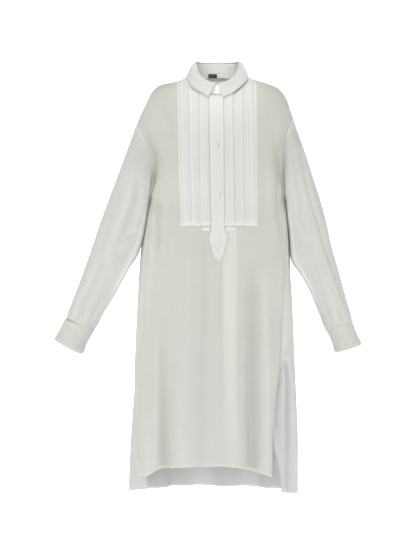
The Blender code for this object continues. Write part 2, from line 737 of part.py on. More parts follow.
def sleeve_grid(side):
    rows = sleeve_rows(side)
    around = 2 * UPPER_ROWS
    places = [0.0, 0.05, 0.12, 0.20, 0.28, 0.36, 0.45, 0.55, 0.66, 0.77, 0.87, 0.94, 1.0]
    grid = []
    for t in places:
        outer = np.array([along(rows, "outer_x", t), 0.0, along(rows, "outer_z", t)])
        inner = np.array([along(rows, "inner_x", t), 0.0, along(rows, "inner_z", t)])
        centre, span = (outer + inner) / 2, outer - inner
        half = np.linalg.norm(span) / 2
        width = span / (2 * half)
        front, back = float(along(rows, "front", t)), float(along(rows, "back", t))
        settle = float(ease(1 - t / 0.2))
        ring = []
        for step in range(around):
            turn = 2 * math.pi * step / around
            point = section(centre, width, half, front, back, turn)
            scoop = (SCOOP_FRONT if turn < math.pi else SCOOP_BACK)[side]
            point[0] -= scoop * math.sin(turn) ** 2 * settle
            point[1] += 0.010 * (1 + math.cos(turn)) / 2 * settle
            if t == 0.0:
                on_front_half = turn < math.pi
                point = armhole_point(side, turn if on_front_half else 2 * math.pi - turn, on_front_half)
                point[0] *= side
                point += SLEEVE_GAP * np.array([0.8, 0, -0.6])
            point[0] *= side
            ring.append(point)
        grid.append(ring)
    return np.array(grid)


def cuff_ring(outer, inner, depth, grow=0.0):
    outer = np.array([outer[0], 0.0, outer[1]])
    inner = np.array([inner[0], 0.0, inner[1]])
    span = outer - inner
    half = np.linalg.norm(span) / 2
    centre, width = (outer + inner) / 2, span / (2 * half)
    half, depth = half + grow, depth + grow
    turns = [2 * math.pi * step / CUFF_STEPS for step in range(CUFF_STEPS)]
    return np.array([section(centre, width, half, depth, depth, turn) for turn in turns])


def cuff_grid(side, cuff, sleeve_end):
    """A double cuff as one folded band: down inside from the sleeve's end, then back up outside."""
    foot = cuff_ring(cuff.foot_outer, cuff.foot_inner, cuff.depth)
    inner_foot = cuff_ring(cuff.foot_outer, cuff.foot_inner, cuff.depth, -cuff.layer_gap)
    top = cuff_ring(cuff.top_outer, cuff.top_inner, cuff.depth)
    sleeve_outer = (sleeve_end.outer_x, sleeve_end.outer_z)
    sleeve_inner = (sleeve_end.inner_x, sleeve_end.inner_z)
    start = cuff_ring(sleeve_outer, sleeve_inner, sleeve_end.front, CUFF_SEAM_GROW)
    down = inner_foot - start
    start = start + down / np.linalg.norm(down, axis=1, keepdims=True) * CUFF_SEAM_GAP
    drop = (foot - top) / np.linalg.norm(foot - top, axis=1, keepdims=True)
    rows = [start, mix(start, inner_foot, 0.5), inner_foot]
    rows.append(mix(inner_foot, foot, 0.5) + drop * cuff.layer_gap * 0.55)
    rows += [foot, mix(foot, top, 0.33), mix(foot, top, 0.66), top]
    grid = np.array(rows)
    grid[..., 0] *= side
    return grid


def stand_grid():
    """The stand: a band round the neck whose ends lap at the front, the wearer's left over."""
    grid = []
    angles = np.linspace(-STAND_LAP_TURN, 2 * math.pi + STAND_LAP_TURN, RING_STEPS + 1)
    for share in (1.0, 0.66, 0.33, 0.0):
        row = []
        for angle in angles:
            low, high = neck_point(angle), stand_point(angle)
            point = mix(low + np.array([0, 0, STAND_SEAM_RISE]), high, share)
            from_start = ease(1 - (angle + STAND_LAP_TURN) / math.radians(50))
            from_end = ease(1 - (2 * math.pi + STAND_LAP_TURN - angle) / math.radians(50))
            out = np.array([math.sin(angle), -math.cos(angle), 0.0])
            row.append(point + out * STAND_LAP * (from_start - from_end))
        grid.append(row)
    return np.array(grid)


def fall_grid():
    """The leaf: up from the stand's top edge, over the roll line and down to its outer edge."""
    half = RING_STEPS // 2
    right = [-math.radians(a) for a in np.linspace(LEAF_RIGHT[0].angle, 180, half + 1)]
    left = [math.radians(a) for a in np.linspace(180, LEAF_LEFT[0].angle, half + 1)]
    up = np.array([0, 0, 1.0])
    columns = []
    for number, angle in enumerate(right + left[1:]):
        rows, side = (LEAF_RIGHT, -1) if number <= half else (LEAF_LEFT, 1)
        degrees = abs(math.degrees(angle))
        edge = np.array([float(along(rows, axis, degrees)) for axis in "xyz"])
        edge[0] *= side
        top = stand_point(angle)
        out = np.array([math.sin(angle), -math.cos(angle), 0.0])
        roll = top + out * 0.0034 + up * 0.0018
        column = [top - out * 0.0016 + up * 0.0005, top - out * 0.0010 + up * 0.0028, top + out * 0.0012 + up * 0.0038]
        for t in (0.0, 0.22, 0.48, 0.75, 1.0):
            bulge = 0.0022 * math.sin(math.pi * min(t * 1.3, 1.0))
            column.append(mix(roll, edge, t) + out * bulge)
        columns.append(column)
    return np.transpose(np.array(columns), (1, 0, 2))


def build_button(name, place, material, collection, tilt):
    bpy.ops.mesh.primitive_cylinder_add(vertices=24, radius=BUTTON_RADIUS, depth=BUTTON_THICK, location=place)
    button = bpy.context.object
    button.name = name
    button.rotation_euler = (math.pi / 2 + tilt, 0, 0)
    button.data.materials.append(material)
    for holder in list(button.users_collection):
        holder.objects.unlink(button)
    collection.objects.link(button)
    edge = button.modifiers.new("Edge", "BEVEL")
    edge.width = 0.0005
    edge.segments = 2


def build_label(name, x_from, x_to, material, collection):
    """A strip inside the back of the stand, following its inner face."""
    grid = []
    for z in (LABEL_HIGH, LABEL_LOW):
        row = []
        for x in np.linspace(x_from, x_to, 5):
            angle = math.pi - math.asin(x / NECK_HALF)
            low, high = neck_point(angle), stand_point(angle)
            share = (z - low[2]) / (high[2] - low[2])
            out = np.array([math.sin(angle), -math.cos(angle), 0.0])
            row.append(mix(low, high, share) - out * (STAND_CLOTH + LAY_GAP))
        grid.append(row)
    cloth_sheet(name, np.array(grid), material, collection, LABEL_THICK, flip=True)


def build_shirt():
    clear_scene()
    shirt = make_collection("long_shirt")
    materials = {name: make_material(name) for name in COLOURS}
    voile, bib_cloth, collar_cloth = (materials[name] for name in ("voile", "bib_cloth", "collar_cloth"))

    front, back = front_grid(), back_grid()
    cloth_sheet("front_panel", front, voile, shirt)
    cloth_sheet("back_panel", back, voile, shirt)

    normals = grid_normals(front)
    right_tucks = (
        ("placket_right", "tuck_1_right", ()),
        ("tuck_1_right", "tuck_2_right", ("neck_bend_right", "neck_turn_right")),
        ("tuck_2_right", "strip_right", ()),
        ("strip_right", "bib_edge_right", ()),
    )
    left_tucks = (
        ("placket_left", "tuck_1_left", ()),
        ("tuck_1_left", "tuck_2_left", ("neck_bend_left",)),
        ("tuck_2_left", "strip_left", ("neck_turn_left",)),
        ("strip_left", "bib_edge_left", ()),
    )
    build_bib("bib_right", front, normals, right_tucks, bib_cloth, shirt)
    build_bib("bib_left", front, normals, left_tucks, bib_cloth, shirt)
    build_placket(front, normals, bib_cloth, shirt)
    build_pleat_heads(front, bib_cloth, shirt)

    for side, word, cuff in ((-1, "right", CUFF_RIGHT), (1, "left", CUFF_LEFT)):
        cloth_sheet("sleeve_" + word, sleeve_grid(side), voile, shirt, closed=True, flip=side > 0)
        end = sleeve_rows(side)[-1]
        cloth_sheet("cuff_" + word, cuff_grid(side, cuff, end), bib_cloth, shirt, closed=True, flip=side < 0)

    cloth_sheet("collar_stand", stand_grid(), collar_cloth, shirt, STAND_CLOTH)
    cloth_sheet("collar_fall", fall_grid(), collar_cloth, shirt, COLLAR_CLOTH)

    front_face = mix(neck_point(0.0), stand_point(0.0), 0.5)[1] - STAND_LAP
    neck_place = (0.001, front_face - LAY_GAP - BUTTON_THICK / 2 - 0.0008, NECK_BUTTON_HEIGHT)
    build_button("collar_button", neck_place, materials["button"], shirt, math.radians(-11))
    back_face = mix(neck_point(math.pi), stand_point(math.pi), 0.5)[1] - STAND_CLOTH
    stand_place = (STAND_BUTTON_X, back_face - LAY_GAP - BUTTON_THICK / 2 - 0.0008, STAND_BUTTON_HEIGHT)
    build_button("stand_button", stand_place, materials["button"], shirt, math.radians(14))
    build_label("neck_label", -0.0270, -0.0010, materials["label"], shirt)
    build_label("size_tab", 0.0, 0.0230, materials["size_tab"], shirt)


build_shirt()
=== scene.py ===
"""The looks of a long shirt of sheer voile, worn and filled out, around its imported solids.
Metres, +Z up, the front faces -Y and the wearer's left is +X."""

import math
from collections import namedtuple

import bpy
import bmesh
import numpy as np
from mathutils import Matrix, Vector, noise


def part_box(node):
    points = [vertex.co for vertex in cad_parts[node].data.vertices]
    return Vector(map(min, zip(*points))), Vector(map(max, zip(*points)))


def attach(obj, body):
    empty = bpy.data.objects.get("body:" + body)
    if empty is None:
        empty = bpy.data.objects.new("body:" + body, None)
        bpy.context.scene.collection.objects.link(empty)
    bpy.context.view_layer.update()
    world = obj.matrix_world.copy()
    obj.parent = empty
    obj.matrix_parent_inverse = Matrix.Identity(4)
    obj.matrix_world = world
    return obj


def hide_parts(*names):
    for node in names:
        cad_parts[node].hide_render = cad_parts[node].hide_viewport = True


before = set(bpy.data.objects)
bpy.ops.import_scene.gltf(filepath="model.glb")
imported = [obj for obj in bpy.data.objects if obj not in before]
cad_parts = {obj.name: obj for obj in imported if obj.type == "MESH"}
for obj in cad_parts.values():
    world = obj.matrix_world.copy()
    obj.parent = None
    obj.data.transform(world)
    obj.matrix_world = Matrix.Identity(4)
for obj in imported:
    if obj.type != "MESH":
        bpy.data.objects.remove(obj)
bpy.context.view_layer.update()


def rows_of(kind, *rows):
    """A table: each row of values under the kind's column names."""
    return tuple(kind(*row) for row in rows)


# Thin cloth on the solids' forms, and how finely the forms are divided
VOILE_THICK, DOUBLE_THICK, STAND_THICK, LEAF_THICK, TAPE_THICK = 0.0004, 0.0008, 0.0016, 0.0011, 0.0006
ROW_STEPS, COLUMN_STEPS = 5, 6
SLEEVE_ROW_STEPS, SLEEVE_COLUMN_STEPS = 9, 5
THREAD_PITCH = 0.0011
FOLD_DROP = 0.0004
TUCK_FOOT, TUCK_EDGE_RIGHT, TUCK_EDGE_LEFT = 0.0006, 0.0015, 0.0017
PLACKET_FACE, TAB_FACE, PLEAT_HEAD_FACE = 0.0015, 0.0013, 0.0008
SEAM_PROUD, SLIT_PROUD = 0.00015, 0.0002

# How strongly folds are painted into the cloth's colour, as painted shade in troughs and painted highlights on
# ridges, at most by SHADE_LIMIT
FOLD_SHADE_STRENGTH, SLEEVE_SHADE_STRENGTH, SHADE_LIMIT = 42.0, 50.0, 0.34
BROAD_SHADE = 0.35

# Fullness: the body beside its seams, the sleeve's underarm, and its end over the cuff
SIDE_FULL, UNDERARM_FULL, CUFF_HANG = 0.010, 0.045, 0.0055
SEAM_FORWARD, SLEEVE_FORWARD = 0.022, 1.2
SIDE_FADE = 0.016
FRONT_WAVER, BACK_WAVER, SLEEVE_WAVER = 0.0016, 0.0022, 0.0024

# The camera stands where the photo was taken from, level with the shirt's middle
CAMERA_X, CAMERA_Y, CAMERA_Z = -0.0257, -4.30, -0.541
FRAME_HEIGHT, SENSOR = 1.4985, 36.0

# Gaps and trims at the seams
STAND_CLOTH = 0.0020
SHOULDER_TRIM = 0.0005
SIDE_TRIM = math.radians(0.1)
SLEEVE_GAP = 0.0003
CUFF_SEAM_GAP, CUFF_SEAM_GROW = 0.0006, 0.0002
LAY_GAP = 0.0004
BIB_TOP_TRIM = 0.0030
STAND_SEAM_RISE = 0.0016

# The body between the armholes and the hem
UNDERARM = -0.335
BIB_HEM = -0.406
SQUARENESS = 2.3
UPPER_ROWS = 12
ARMHOLE_BLEND, BACK_PLAIN = 1.6, 0.3
ARMHOLE_Y = 0.010
HEM_ROWS, HEM_HALF = 8, 0.200
BACK_COLUMNS = 22

# The neck seam and the stand
NECK_HALF = 0.072
NECK_FRONT, NECK_BACK = -0.078, 0.060
NECK_SIDE_HEIGHT, NECK_FRONT_DROP, NECK_BACK_RISE = -0.001, 0.055, 0.001
STAND_TOP_HALF = 0.0585
STAND_TOP_FRONT, STAND_TOP_BACK = -0.0725, 0.050
STAND_SIDE_HEIGHT, STAND_FRONT_DROP, STAND_BACK_RISE = 0.0375, 0.066, 0.004
STAND_LAP = 0.0013
STAND_LAP_TURN, STAND_LAP_REACH = math.radians(7), math.radians(50)
RING_STEPS = 40

# The tab's tip, the heads of the loose pleat, and the label
TAB_TIP = -0.4965
PLEAT_HEAD_TOP, PLEAT_HEAD_BOTTOM = -0.4066, -0.4190
LABEL_LOW, LABEL_HIGH = 0.0035, 0.0150

# Stitches
STITCH_LENGTH, STITCH_PITCH, THREAD_RADIUS = 0.0021, 0.0030, 0.00028

# The solids' form: the body's cross sections from the front
BODY = namedtuple("BodyRow", "z right left front back")
BODY_ROWS = rows_of(
    BODY,
    (-0.335, 0.1826, 0.1826, 0.110, 0.106),
    (-0.370, 0.1895, 0.1865, 0.112, 0.107),
    (-0.420, 0.1990, 0.1925, 0.114, 0.108),
    (-0.461, 0.2055, 0.1950, 0.115, 0.110),
    (-0.531, 0.2105, 0.1970, 0.117, 0.112),
    (-0.600, 0.2145, 0.2013, 0.118, 0.114),
    (-0.663, 0.2180, 0.2035, 0.119, 0.116),
    (-0.764, 0.2225, 0.2075, 0.121, 0.119),
    (-0.875, 0.2320, 0.2120, 0.123, 0.122),
    (-0.986, 0.2380, 0.2160, 0.124, 0.124),
    (-1.130, 0.2415, 0.2175, 0.125, 0.126),
)

# Where the side seams and, below the slits, the panels' edges lie, in degrees from the front
EDGE = namedtuple("EdgeRow", "z right_front right_back left_front left_back")
EDGE_ROWS = rows_of(
    EDGE,
    (-0.335, 90.0, 90.0, 90.0, 90.0),
    (-0.406, 73.0, 73.0, 76.0, 76.0),
    (-0.461, 66.0, 66.0, 68.0, 68.0),
    (-0.550, 64.5, 64.5, 61.5, 61.5),
    (-0.630, 65.5, 65.5, 57.0, 57.0),
    (-0.700, 67.5, 67.5, 53.5, 53.5),
    (-0.745, 69.0, 69.0, 51.0, 51.0),
    (-0.785, 70.0, 70.0, 48.5, 48.8),
    (-0.830, 71.5, 71.5, 45.5, 44.0),
    (-0.880, 72.0, 69.0, 42.0, 40.0),
    (-0.960, 71.0, 62.5, 39.5, 40.0),
    (-1.000, 67.5, 58.0, 39.0, 42.5),
    (-1.050, 61.5, 53.0, 38.5, 47.0),
    (-1.080, 58.0, 50.0, 38.0, 49.0),
    (-1.130, 58.0, 47.5, 38.0, 51.0),
)

# The heights of the cross rows at the wearer's right and left edges, the last one at the slits
CROSS = namedtuple("CrossRow", "right left")
CROSS_ROWS = rows_of(
    CROSS,
    (-0.370, -0.370),
    (BIB_HEM, BIB_HEM),
    (-0.445, -0.444),
    (-0.495, -0.490),
    (-0.550, -0.540),
    (-0.610, -0.592),
    (-0.670, -0.645),
    (-0.730, -0.697),
    (-0.785, -0.745),
)

# The front hem by its place across, and the back hem by its angle from the front
HEM = namedtuple("HemRow", "place z")
FRONT_HEM = rows_of(
    HEM,
    (-0.207, -1.0715),
    (-0.182, -1.0690),
    (-0.134, -1.0444),
    (-0.060, -1.0385),
    (0.007, -1.0370),
    (0.071, -1.0438),
    (0.107, -1.0548),
    (0.145, -1.0670),
)
BACK_HEM = rows_of(
    HEM,
    (50.0, -1.1110),
    (90.0, -1.1210),
    (130.0, -1.1215),
    (180.0, -1.1195),
    (214.0, -1.1160),
    (232.0, -1.1200),
    (270.0, -1.1150),
    (312.0, -1.1010),
)

# Shoulder line from the neck to the top of each sleeve
SHOULDER = namedtuple("ShoulderRow", "x right left")
SHOULDER_ROWS = rows_of(
    SHOULDER,
    (0.072, -0.0010, -0.0010),
    (0.110, -0.0120, -0.0105),
    (0.138, -0.0175, -0.0185),
    (0.156, -0.0215, -0.0255),
    (0.172, -0.0330, -0.0360),
    (0.186, -0.0550, -0.0560),
    (0.196, -0.0760, -0.0800),
    (0.204, -0.0940, -0.1070),
    (0.212, -0.1110, -0.1330),
    (0.220, -0.1280, -0.1600),
)

# How squarely a column rounds over from the chest or the back to its top, by its place across
ROUNDING = namedtuple("RoundingRow", "x front back")
ROUNDING_ROWS = rows_of(
    ROUNDING,
    (0.000, 1.50, 1.5),
    (0.030, 1.55, 1.6),
    (0.055, 1.90, 1.9),
    (0.076, 2.15, 2.7),
    (0.110, 2.40, 2.7),
    (0.220, 2.30, 2.3),
)

# Lines down the front: the bib's edges, tucks and placket, from the top to the hem
LINE = namedtuple("FrontLine", "name top bib hem")
FRONT_LINES = rows_of(
    LINE,
    ("bib_edge_right", -0.1090, -0.0985, -0.1000),
    ("strip_right", -0.1000, -0.0905, -0.0900),
    ("tuck_2_right", -0.0765, -0.0670, -0.0620),
    ("neck_turn_right", -0.0655, -0.0575, -0.0500),
    ("neck_bend_right", -0.0570, -0.0512, -0.0420),
    ("tuck_1_right", -0.0480, -0.0446, -0.0340),
    ("placket_right", -0.0235, -0.0168, -0.0060),
    ("centre", -0.0045, 0.0003, 0.0180),
    ("placket_left", 0.0145, 0.0172, 0.0420),
    ("tuck_1_left", 0.0395, 0.0434, 0.0600),
    ("neck_bend_left", 0.0530, 0.0560, 0.0700),
    ("tuck_2_left", 0.0645, 0.0688, 0.0790),
    ("neck_turn_left", 0.0770, 0.0800, 0.0880),
    ("strip_left", 0.0920, 0.0962, 0.0975),
    ("bib_edge_left", 0.1040, 0.1050, 0.1080),
)
LINE_INDEX = {line.name: number for number, line in enumerate(FRONT_LINES)}
SIDE_STEPS = (0.18, 0.38, 0.59, 0.80, 1.0)

# Soft folds: a ridge where the rise is positive, a trough where it is negative
FOLD = namedtuple("Fold", "start end x_start x_end width rise_start rise_end")
FRONT_FOLDS = rows_of(
    FOLD,
    (-0.42, -1.04, 0.030, 0.052, 0.014, 0.0020, 0.0065),
    (-0.50, -1.05, 0.078, 0.090, 0.017, -0.0010, -0.0130),
    (-0.45, -1.05, 0.118, 0.122, 0.020, 0.0020, 0.0080),
    (-0.70, -1.06, -0.132, -0.141, 0.020, 0.0000, -0.0200),
    (-0.62, -1.06, -0.168, -0.180, 0.018, 0.0000, 0.0050),
    (-0.45, -1.04, -0.092, -0.096, 0.022, 0.0020, 0.0070),
    (-0.50, -1.04, -0.040, -0.036, 0.020, 0.0000, -0.0040),
)
BACK_FOLDS = rows_of(
    FOLD,
    (-0.20, -1.12, -0.040, -0.050, 0.024, 0.0030, 0.0110),
    (-0.30, -1.12, -0.092, -0.100, 0.020, -0.0020, -0.0090),
    (-0.80, -1.12, -0.158, -0.158, 0.026, 0.0000, -0.0360),
    (-0.25, -1.12, 0.020, 0.012, 0.022, -0.0030, -0.0120),
    (-0.18, -1.12, 0.072, 0.082, 0.024, 0.0030, 0.0120),
    (-0.35, -1.12, 0.125, 0.140, 0.022, -0.0020, -0.0130),
)

# Each sleeve by its outer and inner edge seen from the front, and its half depths
SLEEVE = namedtuple("SleeveRow", "t outer_x outer_z inner_x inner_z front back")
SLEEVE_RIGHT = rows_of(
    SLEEVE,
    (0.00, 0.2200, -0.1280, 0.1830, -0.3350, 0.066, 0.069),
    (0.12, 0.2400, -0.1830, 0.1915, -0.3720, 0.069, 0.071),
    (0.28, 0.2750, -0.2810, 0.2020, -0.4310, 0.067, 0.069),
    (0.42, 0.3130, -0.3860, 0.2165, -0.4780, 0.063, 0.065),
    (0.56, 0.3350, -0.4510, 0.2400, -0.5240, 0.057, 0.059),
    (0.70, 0.3590, -0.5160, 0.2670, -0.5720, 0.051, 0.054),
    (0.83, 0.3830, -0.5790, 0.2930, -0.6150, 0.047, 0.050),
    (0.92, 0.3960, -0.6140, 0.3100, -0.6420, 0.044, 0.046),
    (1.00, 0.4050, -0.6470, 0.3230, -0.6640, 0.0405, 0.0415),
)
SLEEVE_LEFT = rows_of(
    SLEEVE,
    (0.00, 0.2040, -0.1070, 0.1830, -0.3350, 0.066, 0.069),
    (0.12, 0.2245, -0.1660, 0.1883, -0.3720, 0.069, 0.071),
    (0.28, 0.2570, -0.2660, 0.1950, -0.4330, 0.067, 0.069),
    (0.42, 0.2900, -0.3740, 0.1995, -0.4920, 0.063, 0.065),
    (0.56, 0.3065, -0.4550, 0.2225, -0.5350, 0.057, 0.059),
    (0.70, 0.3280, -0.5270, 0.2490, -0.5810, 0.051, 0.054),
    (0.83, 0.3450, -0.5860, 0.2660, -0.6220, 0.047, 0.050),
    (0.92, 0.3550, -0.6200, 0.2785, -0.6490, 0.044, 0.046),
    (1.00, 0.3610, -0.6540, 0.2900, -0.6730, 0.0405, 0.0415),
)
# The places down each sleeve where its rings lie, as shares of its length
SLEEVE_PLACES = (0.0, 0.05, 0.12, 0.20, 0.28, 0.36, 0.45, 0.55, 0.66, 0.77, 0.87, 0.94, 1.0)

# How far the armhole curves in over the chest and over the back, by the sleeve's side
SCOOP_FRONT = {-1: 0.028, 1: 0.021}
SCOOP_BACK = {-1: 0.018, 1: 0.015}

# Each cuff by the ends of its edges seen from the front: the turned-back layer's top and the foot
CUFF = namedtuple("Cuff", "top_outer top_inner foot_outer foot_inner depth layer_gap")
CUFF_RIGHT = CUFF(
    top_outer=(0.4145, -0.6515),
    top_inner=(0.3330, -0.6790),
    foot_outer=(0.4400, -0.7090),
    foot_inner=(0.3650, -0.7470),
    depth=0.0440,
    layer_gap=0.0028,
)
CUFF_LEFT = CUFF(
    top_outer=(0.3675, -0.6660),
    top_inner=(0.2945, -0.6880),
    foot_outer=(0.3885, -0.7210),
    foot_inner=(0.3186, -0.7430),
    depth=0.0430,
    layer_gap=0.0026,
)
CUFF_STEPS = 20

# The collar leaf's outer edge, by its angle round the neck
LEAF = namedtuple("LeafRow", "angle x y z")
LEAF_RIGHT = rows_of(
    LEAF,
    (5.0, 0.0255, -0.0880, -0.0637),
    (24.0, 0.0460, -0.0800, -0.0490),
    (38.0, 0.0595, -0.0735, -0.0410),
    (54.0, 0.0730, -0.0600, -0.0265),
    (70.0, 0.0810, -0.0370, -0.0100),
    (90.0, 0.0845, -0.0080, 0.0015),
    (135.0, 0.0620, 0.0500, -0.0010),
    (180.0, 0.0000, 0.0725, -0.0015),
)
LEAF_LEFT = rows_of(
    LEAF,
    (1.5, 0.0120, -0.0875, -0.0637),
    (18.0, 0.0310, -0.0835, -0.0560),
    (34.0, 0.0450, -0.0790, -0.0465),
    (50.0, 0.0620, -0.0695, -0.0330),
    (70.0, 0.0790, -0.0400, -0.0120),
    (90.0, 0.0840, -0.0080, 0.0010),
    (135.0, 0.0620, 0.0500, -0.0010),
    (180.0, 0.0000, 0.0725, -0.0015),
)

# The placket and its ogee tab: its edges at each height below the bib
TAB = namedtuple("TabRow", "z right left")
TAB_ROWS = rows_of(
    TAB,
    (-0.4200, -0.0185, 0.0200),
    (-0.4300, -0.0225, 0.0250),
    (-0.4370, -0.0238, 0.0268),
    (-0.4440, -0.0225, 0.0250),
    (-0.4540, -0.0172, 0.0198),
    (-0.4640, -0.0150, 0.0176),
    (-0.4740, -0.0138, 0.0164),
    (-0.4830, -0.0115, 0.0142),
    (-0.4900, -0.0075, 0.0104),
    (TAB_TIP, 0.0000, 0.0032),
)


def along(rows, column, at):
    """A table's column, read smoothly and without overshoot at the given key or keys."""
    keys = np.array([row[0] for row in rows])
    values = np.array([getattr(row, column) for row in rows])
    if keys[0] > keys[-1]:
        keys, values = keys[::-1], values[::-1]
    steps = np.diff(values) / np.diff(keys)
    slopes = np.zeros_like(values)
    for i in range(1, len(values) - 1):
        if steps[i - 1] * steps[i] > 0:
            slopes[i] = 2 * steps[i - 1] * steps[i] / (steps[i - 1] + steps[i])
    slopes[0], slopes[-1] = steps[0], steps[-1]
    at = np.clip(at, keys[0], keys[-1])
    i = np.clip(np.searchsorted(keys, at) - 1, 0, len(keys) - 2)
    span = keys[i + 1] - keys[i]
    t = (at - keys[i]) / span
    start = (1 + 2 * t) * (1 - t) ** 2 * values[i] + t * (1 - t) ** 2 * span * slopes[i]
    end = t**2 * (3 - 2 * t) * values[i + 1] + t**2 * (t - 1) * span * slopes[i + 1]
    return start + end


def mix(a, b, t):
    return a + (b - a) * t


def ease(t):
    t = np.clip(t, 0.0, 1.0)
    return t * t * (3 - 2 * t)


def power(value, exponent):
    return math.copysign(abs(value) ** exponent, value)


def body_point(z, angle, inset=0.0):
    """A point of the body's cross section, at an angle from the front towards the wearer's left."""
    across, forward = math.sin(angle), math.cos(angle)
    half = float(along(BODY_ROWS, "left" if across > 0 else "right", z)) - inset
    depth = float(along(BODY_ROWS, "front" if forward > 0 else "back", z)) - inset
    round_off = 2 / SQUARENESS
    return np.array([half * power(across, round_off), -depth * power(forward, round_off), z])


def angle_at(z, x):
    """The front angle at which the body's cross section passes a place across."""
    half = float(along(BODY_ROWS, "left" if x > 0 else "right", z))
    return math.asin(power(min(abs(x) / half, 1.0), SQUARENESS / 2)) * math.copysign(1, x)


def edge_angle(z, column):
    return math.radians(float(along(EDGE_ROWS, column, z)))


def neck_point(angle):
    forward = math.cos(angle)
    middle = (NECK_FRONT + NECK_BACK) / 2
    reach = (NECK_BACK - NECK_FRONT) / 2
    rise = -NECK_FRONT_DROP * forward if forward > 0 else -NECK_BACK_RISE * forward
    return np.array([NECK_HALF * math.sin(angle), middle - reach * forward, NECK_SIDE_HEIGHT + rise])


def stand_point(angle):
    forward = math.cos(angle)
    middle = (STAND_TOP_FRONT + STAND_TOP_BACK) / 2
    reach = (STAND_TOP_BACK - STAND_TOP_FRONT) / 2
    rise = -STAND_FRONT_DROP * forward if forward > 0 else -STAND_BACK_RISE * forward
    across = STAND_TOP_HALF * math.sin(angle)
    return np.array([across, middle - reach * forward, STAND_SIDE_HEIGHT + rise])


def shoulder_point(x):
    side = "left" if x > 0 else "right"
    end = sleeve_rows(x)[0].outer_x
    t = (abs(x) - NECK_HALF) / (end - NECK_HALF)
    y = mix((NECK_FRONT + NECK_BACK) / 2, ARMHOLE_Y, t)
    return np.array([x, y, float(along(SHOULDER_ROWS, side, abs(x)))])


def sleeve_rows(side):
    return SLEEVE_LEFT if side > 0 else SLEEVE_RIGHT


def armhole_point(side, turn, front):
    """A point of the armhole seam: turn is 0 at the shoulder and pi at the underarm."""
    row = sleeve_rows(side)[0]
    top = np.array([row.outer_x, ARMHOLE_Y, row.outer_z])
    foot = np.array([along(BODY_ROWS, "left", UNDERARM), 0.0, UNDERARM])
    bulge = math.sin(turn)
    point = (top + foot) / 2 + (top - foot) / 2 * math.cos(turn)
    point[0] -= (SCOOP_FRONT if front else SCOOP_BACK)[side] * bulge**2
    point[1] += (-row.front if front else row.back) * bulge
    point[1] += -SHOULDER_TRIM if front else SHOULDER_TRIM
    point[0] *= side
    return point


def panel_column(top, foot, rounding):
    """Points from the top edge down to the underarm level, rounding over near the top."""
    points = []
    for step in range(UPPER_ROWS + 1):
        turn = math.pi / 2 * (1 - step / UPPER_ROWS)
        up = math.sin(turn) ** (2 / rounding)
        out = math.cos(turn) ** (2 / rounding) if step else 0.0
        x, z = mix(foot[0], top[0], up), mix(foot[2], top[2], up)
        points.append([x, mix(top[1], foot[1], out), z])
    return np.array(points)


def armhole_column(side, front):
    turns = [math.pi * step / UPPER_ROWS for step in range(UPPER_ROWS + 1)]
    return np.array([armhole_point(side, turn, front) for turn in turns])


def squareness(face, x_top):
    return float(along(ROUNDING_ROWS, face, abs(x_top)))


def front_top(x):
    if abs(x) >= NECK_HALF:
        return shoulder_point(x) - np.array([0, SHOULDER_TRIM, 0])
    return neck_point(math.asin(x / NECK_HALF))


def upper_front():
    """Columns of the front above the underarm: armhole to armhole."""
    seam = {side: armhole_column(side, True) for side in (-1, 1)}
    columns = []
    lines = {}
    for line in FRONT_LINES:
        top = front_top(line.top)
        t = (BIB_HEM - UNDERARM) / (BIB_HEM - top[2])
        x_foot = mix(line.bib, line.top, t)
        foot = body_point(UNDERARM, angle_at(UNDERARM, x_foot))
        lines[line.name] = panel_column(top, foot, squareness("front", line.top))
    for side, edge, order in ((-1, FRONT_LINES[0], SIDE_STEPS[::-1]), (1, FRONT_LINES[-1], SIDE_STEPS)):
        outer_top = sleeve_rows(side)[0].outer_x * side
        edge_foot = lines[edge.name][-1]
        foot_angle = angle_at(UNDERARM, edge_foot[0])
        rounding = squareness("front", outer_top)
        plain_edge = panel_column(shoulder_point(outer_top), seam[side][-1], rounding)
        side_columns = []
        for q in order:
            top = front_top(mix(edge.top, outer_top, q))
            foot = body_point(UNDERARM, mix(foot_angle, side * math.pi / 2, q))
            column = panel_column(top, foot, squareness("front", top[0]))
            column += (seam[side] - plain_edge) * q**ARMHOLE_BLEND
            side_columns.append(seam[side] if q == 1.0 else column)
        if side < 0:
            columns += side_columns + [lines[line.name] for line in FRONT_LINES]
        else:
            columns += side_columns
    return np.stack(columns, axis=1)


def back_top(x):
    if abs(x) >= NECK_HALF:
        return shoulder_point(x) + np.array([0, SHOULDER_TRIM, 0])
    return neck_point(math.pi - math.asin(x / NECK_HALF))


def upper_back():
    """Columns of the back above the underarm, from the wearer's left armhole to the right one."""
    seam = {side: armhole_column(side, False) for side in (-1, 1)}
    columns = []
    for number in range(BACK_COLUMNS + 1):
        q = 1 - 2 * number / BACK_COLUMNS
        side = 1 if q > 0 else -1
        outer_top = sleeve_rows(side)[0].outer_x
        if abs(q) == 1.0:
            columns.append(seam[side])
            continue
        top = back_top(outer_top * q)
        foot = body_point(UNDERARM, math.pi - q * math.pi / 2)
        column = panel_column(top, foot, squareness("back", outer_top * q))
        rounding = squareness("back", outer_top)
        plain_edge = panel_column(shoulder_point(outer_top * side), seam[side][-1], rounding)
        blend = max(0.0, (abs(q) - BACK_PLAIN) / (1 - BACK_PLAIN)) ** ARMHOLE_BLEND
        columns.append(column + (seam[side] - plain_edge) * blend)
    return np.stack(columns, axis=1)


def row_heights(place, hem):
    """The heights of a column's cross rows below the underarm: place runs from -1 right to 1 left."""
    t = (place + 1) / 2
    heights = [mix(row.right, row.left, t) for row in CROSS_ROWS]
    slit = heights[-1]
    heights += [mix(slit, hem, (step / HEM_ROWS) ** 0.9) for step in range(1, HEM_ROWS + 1)]
    return heights


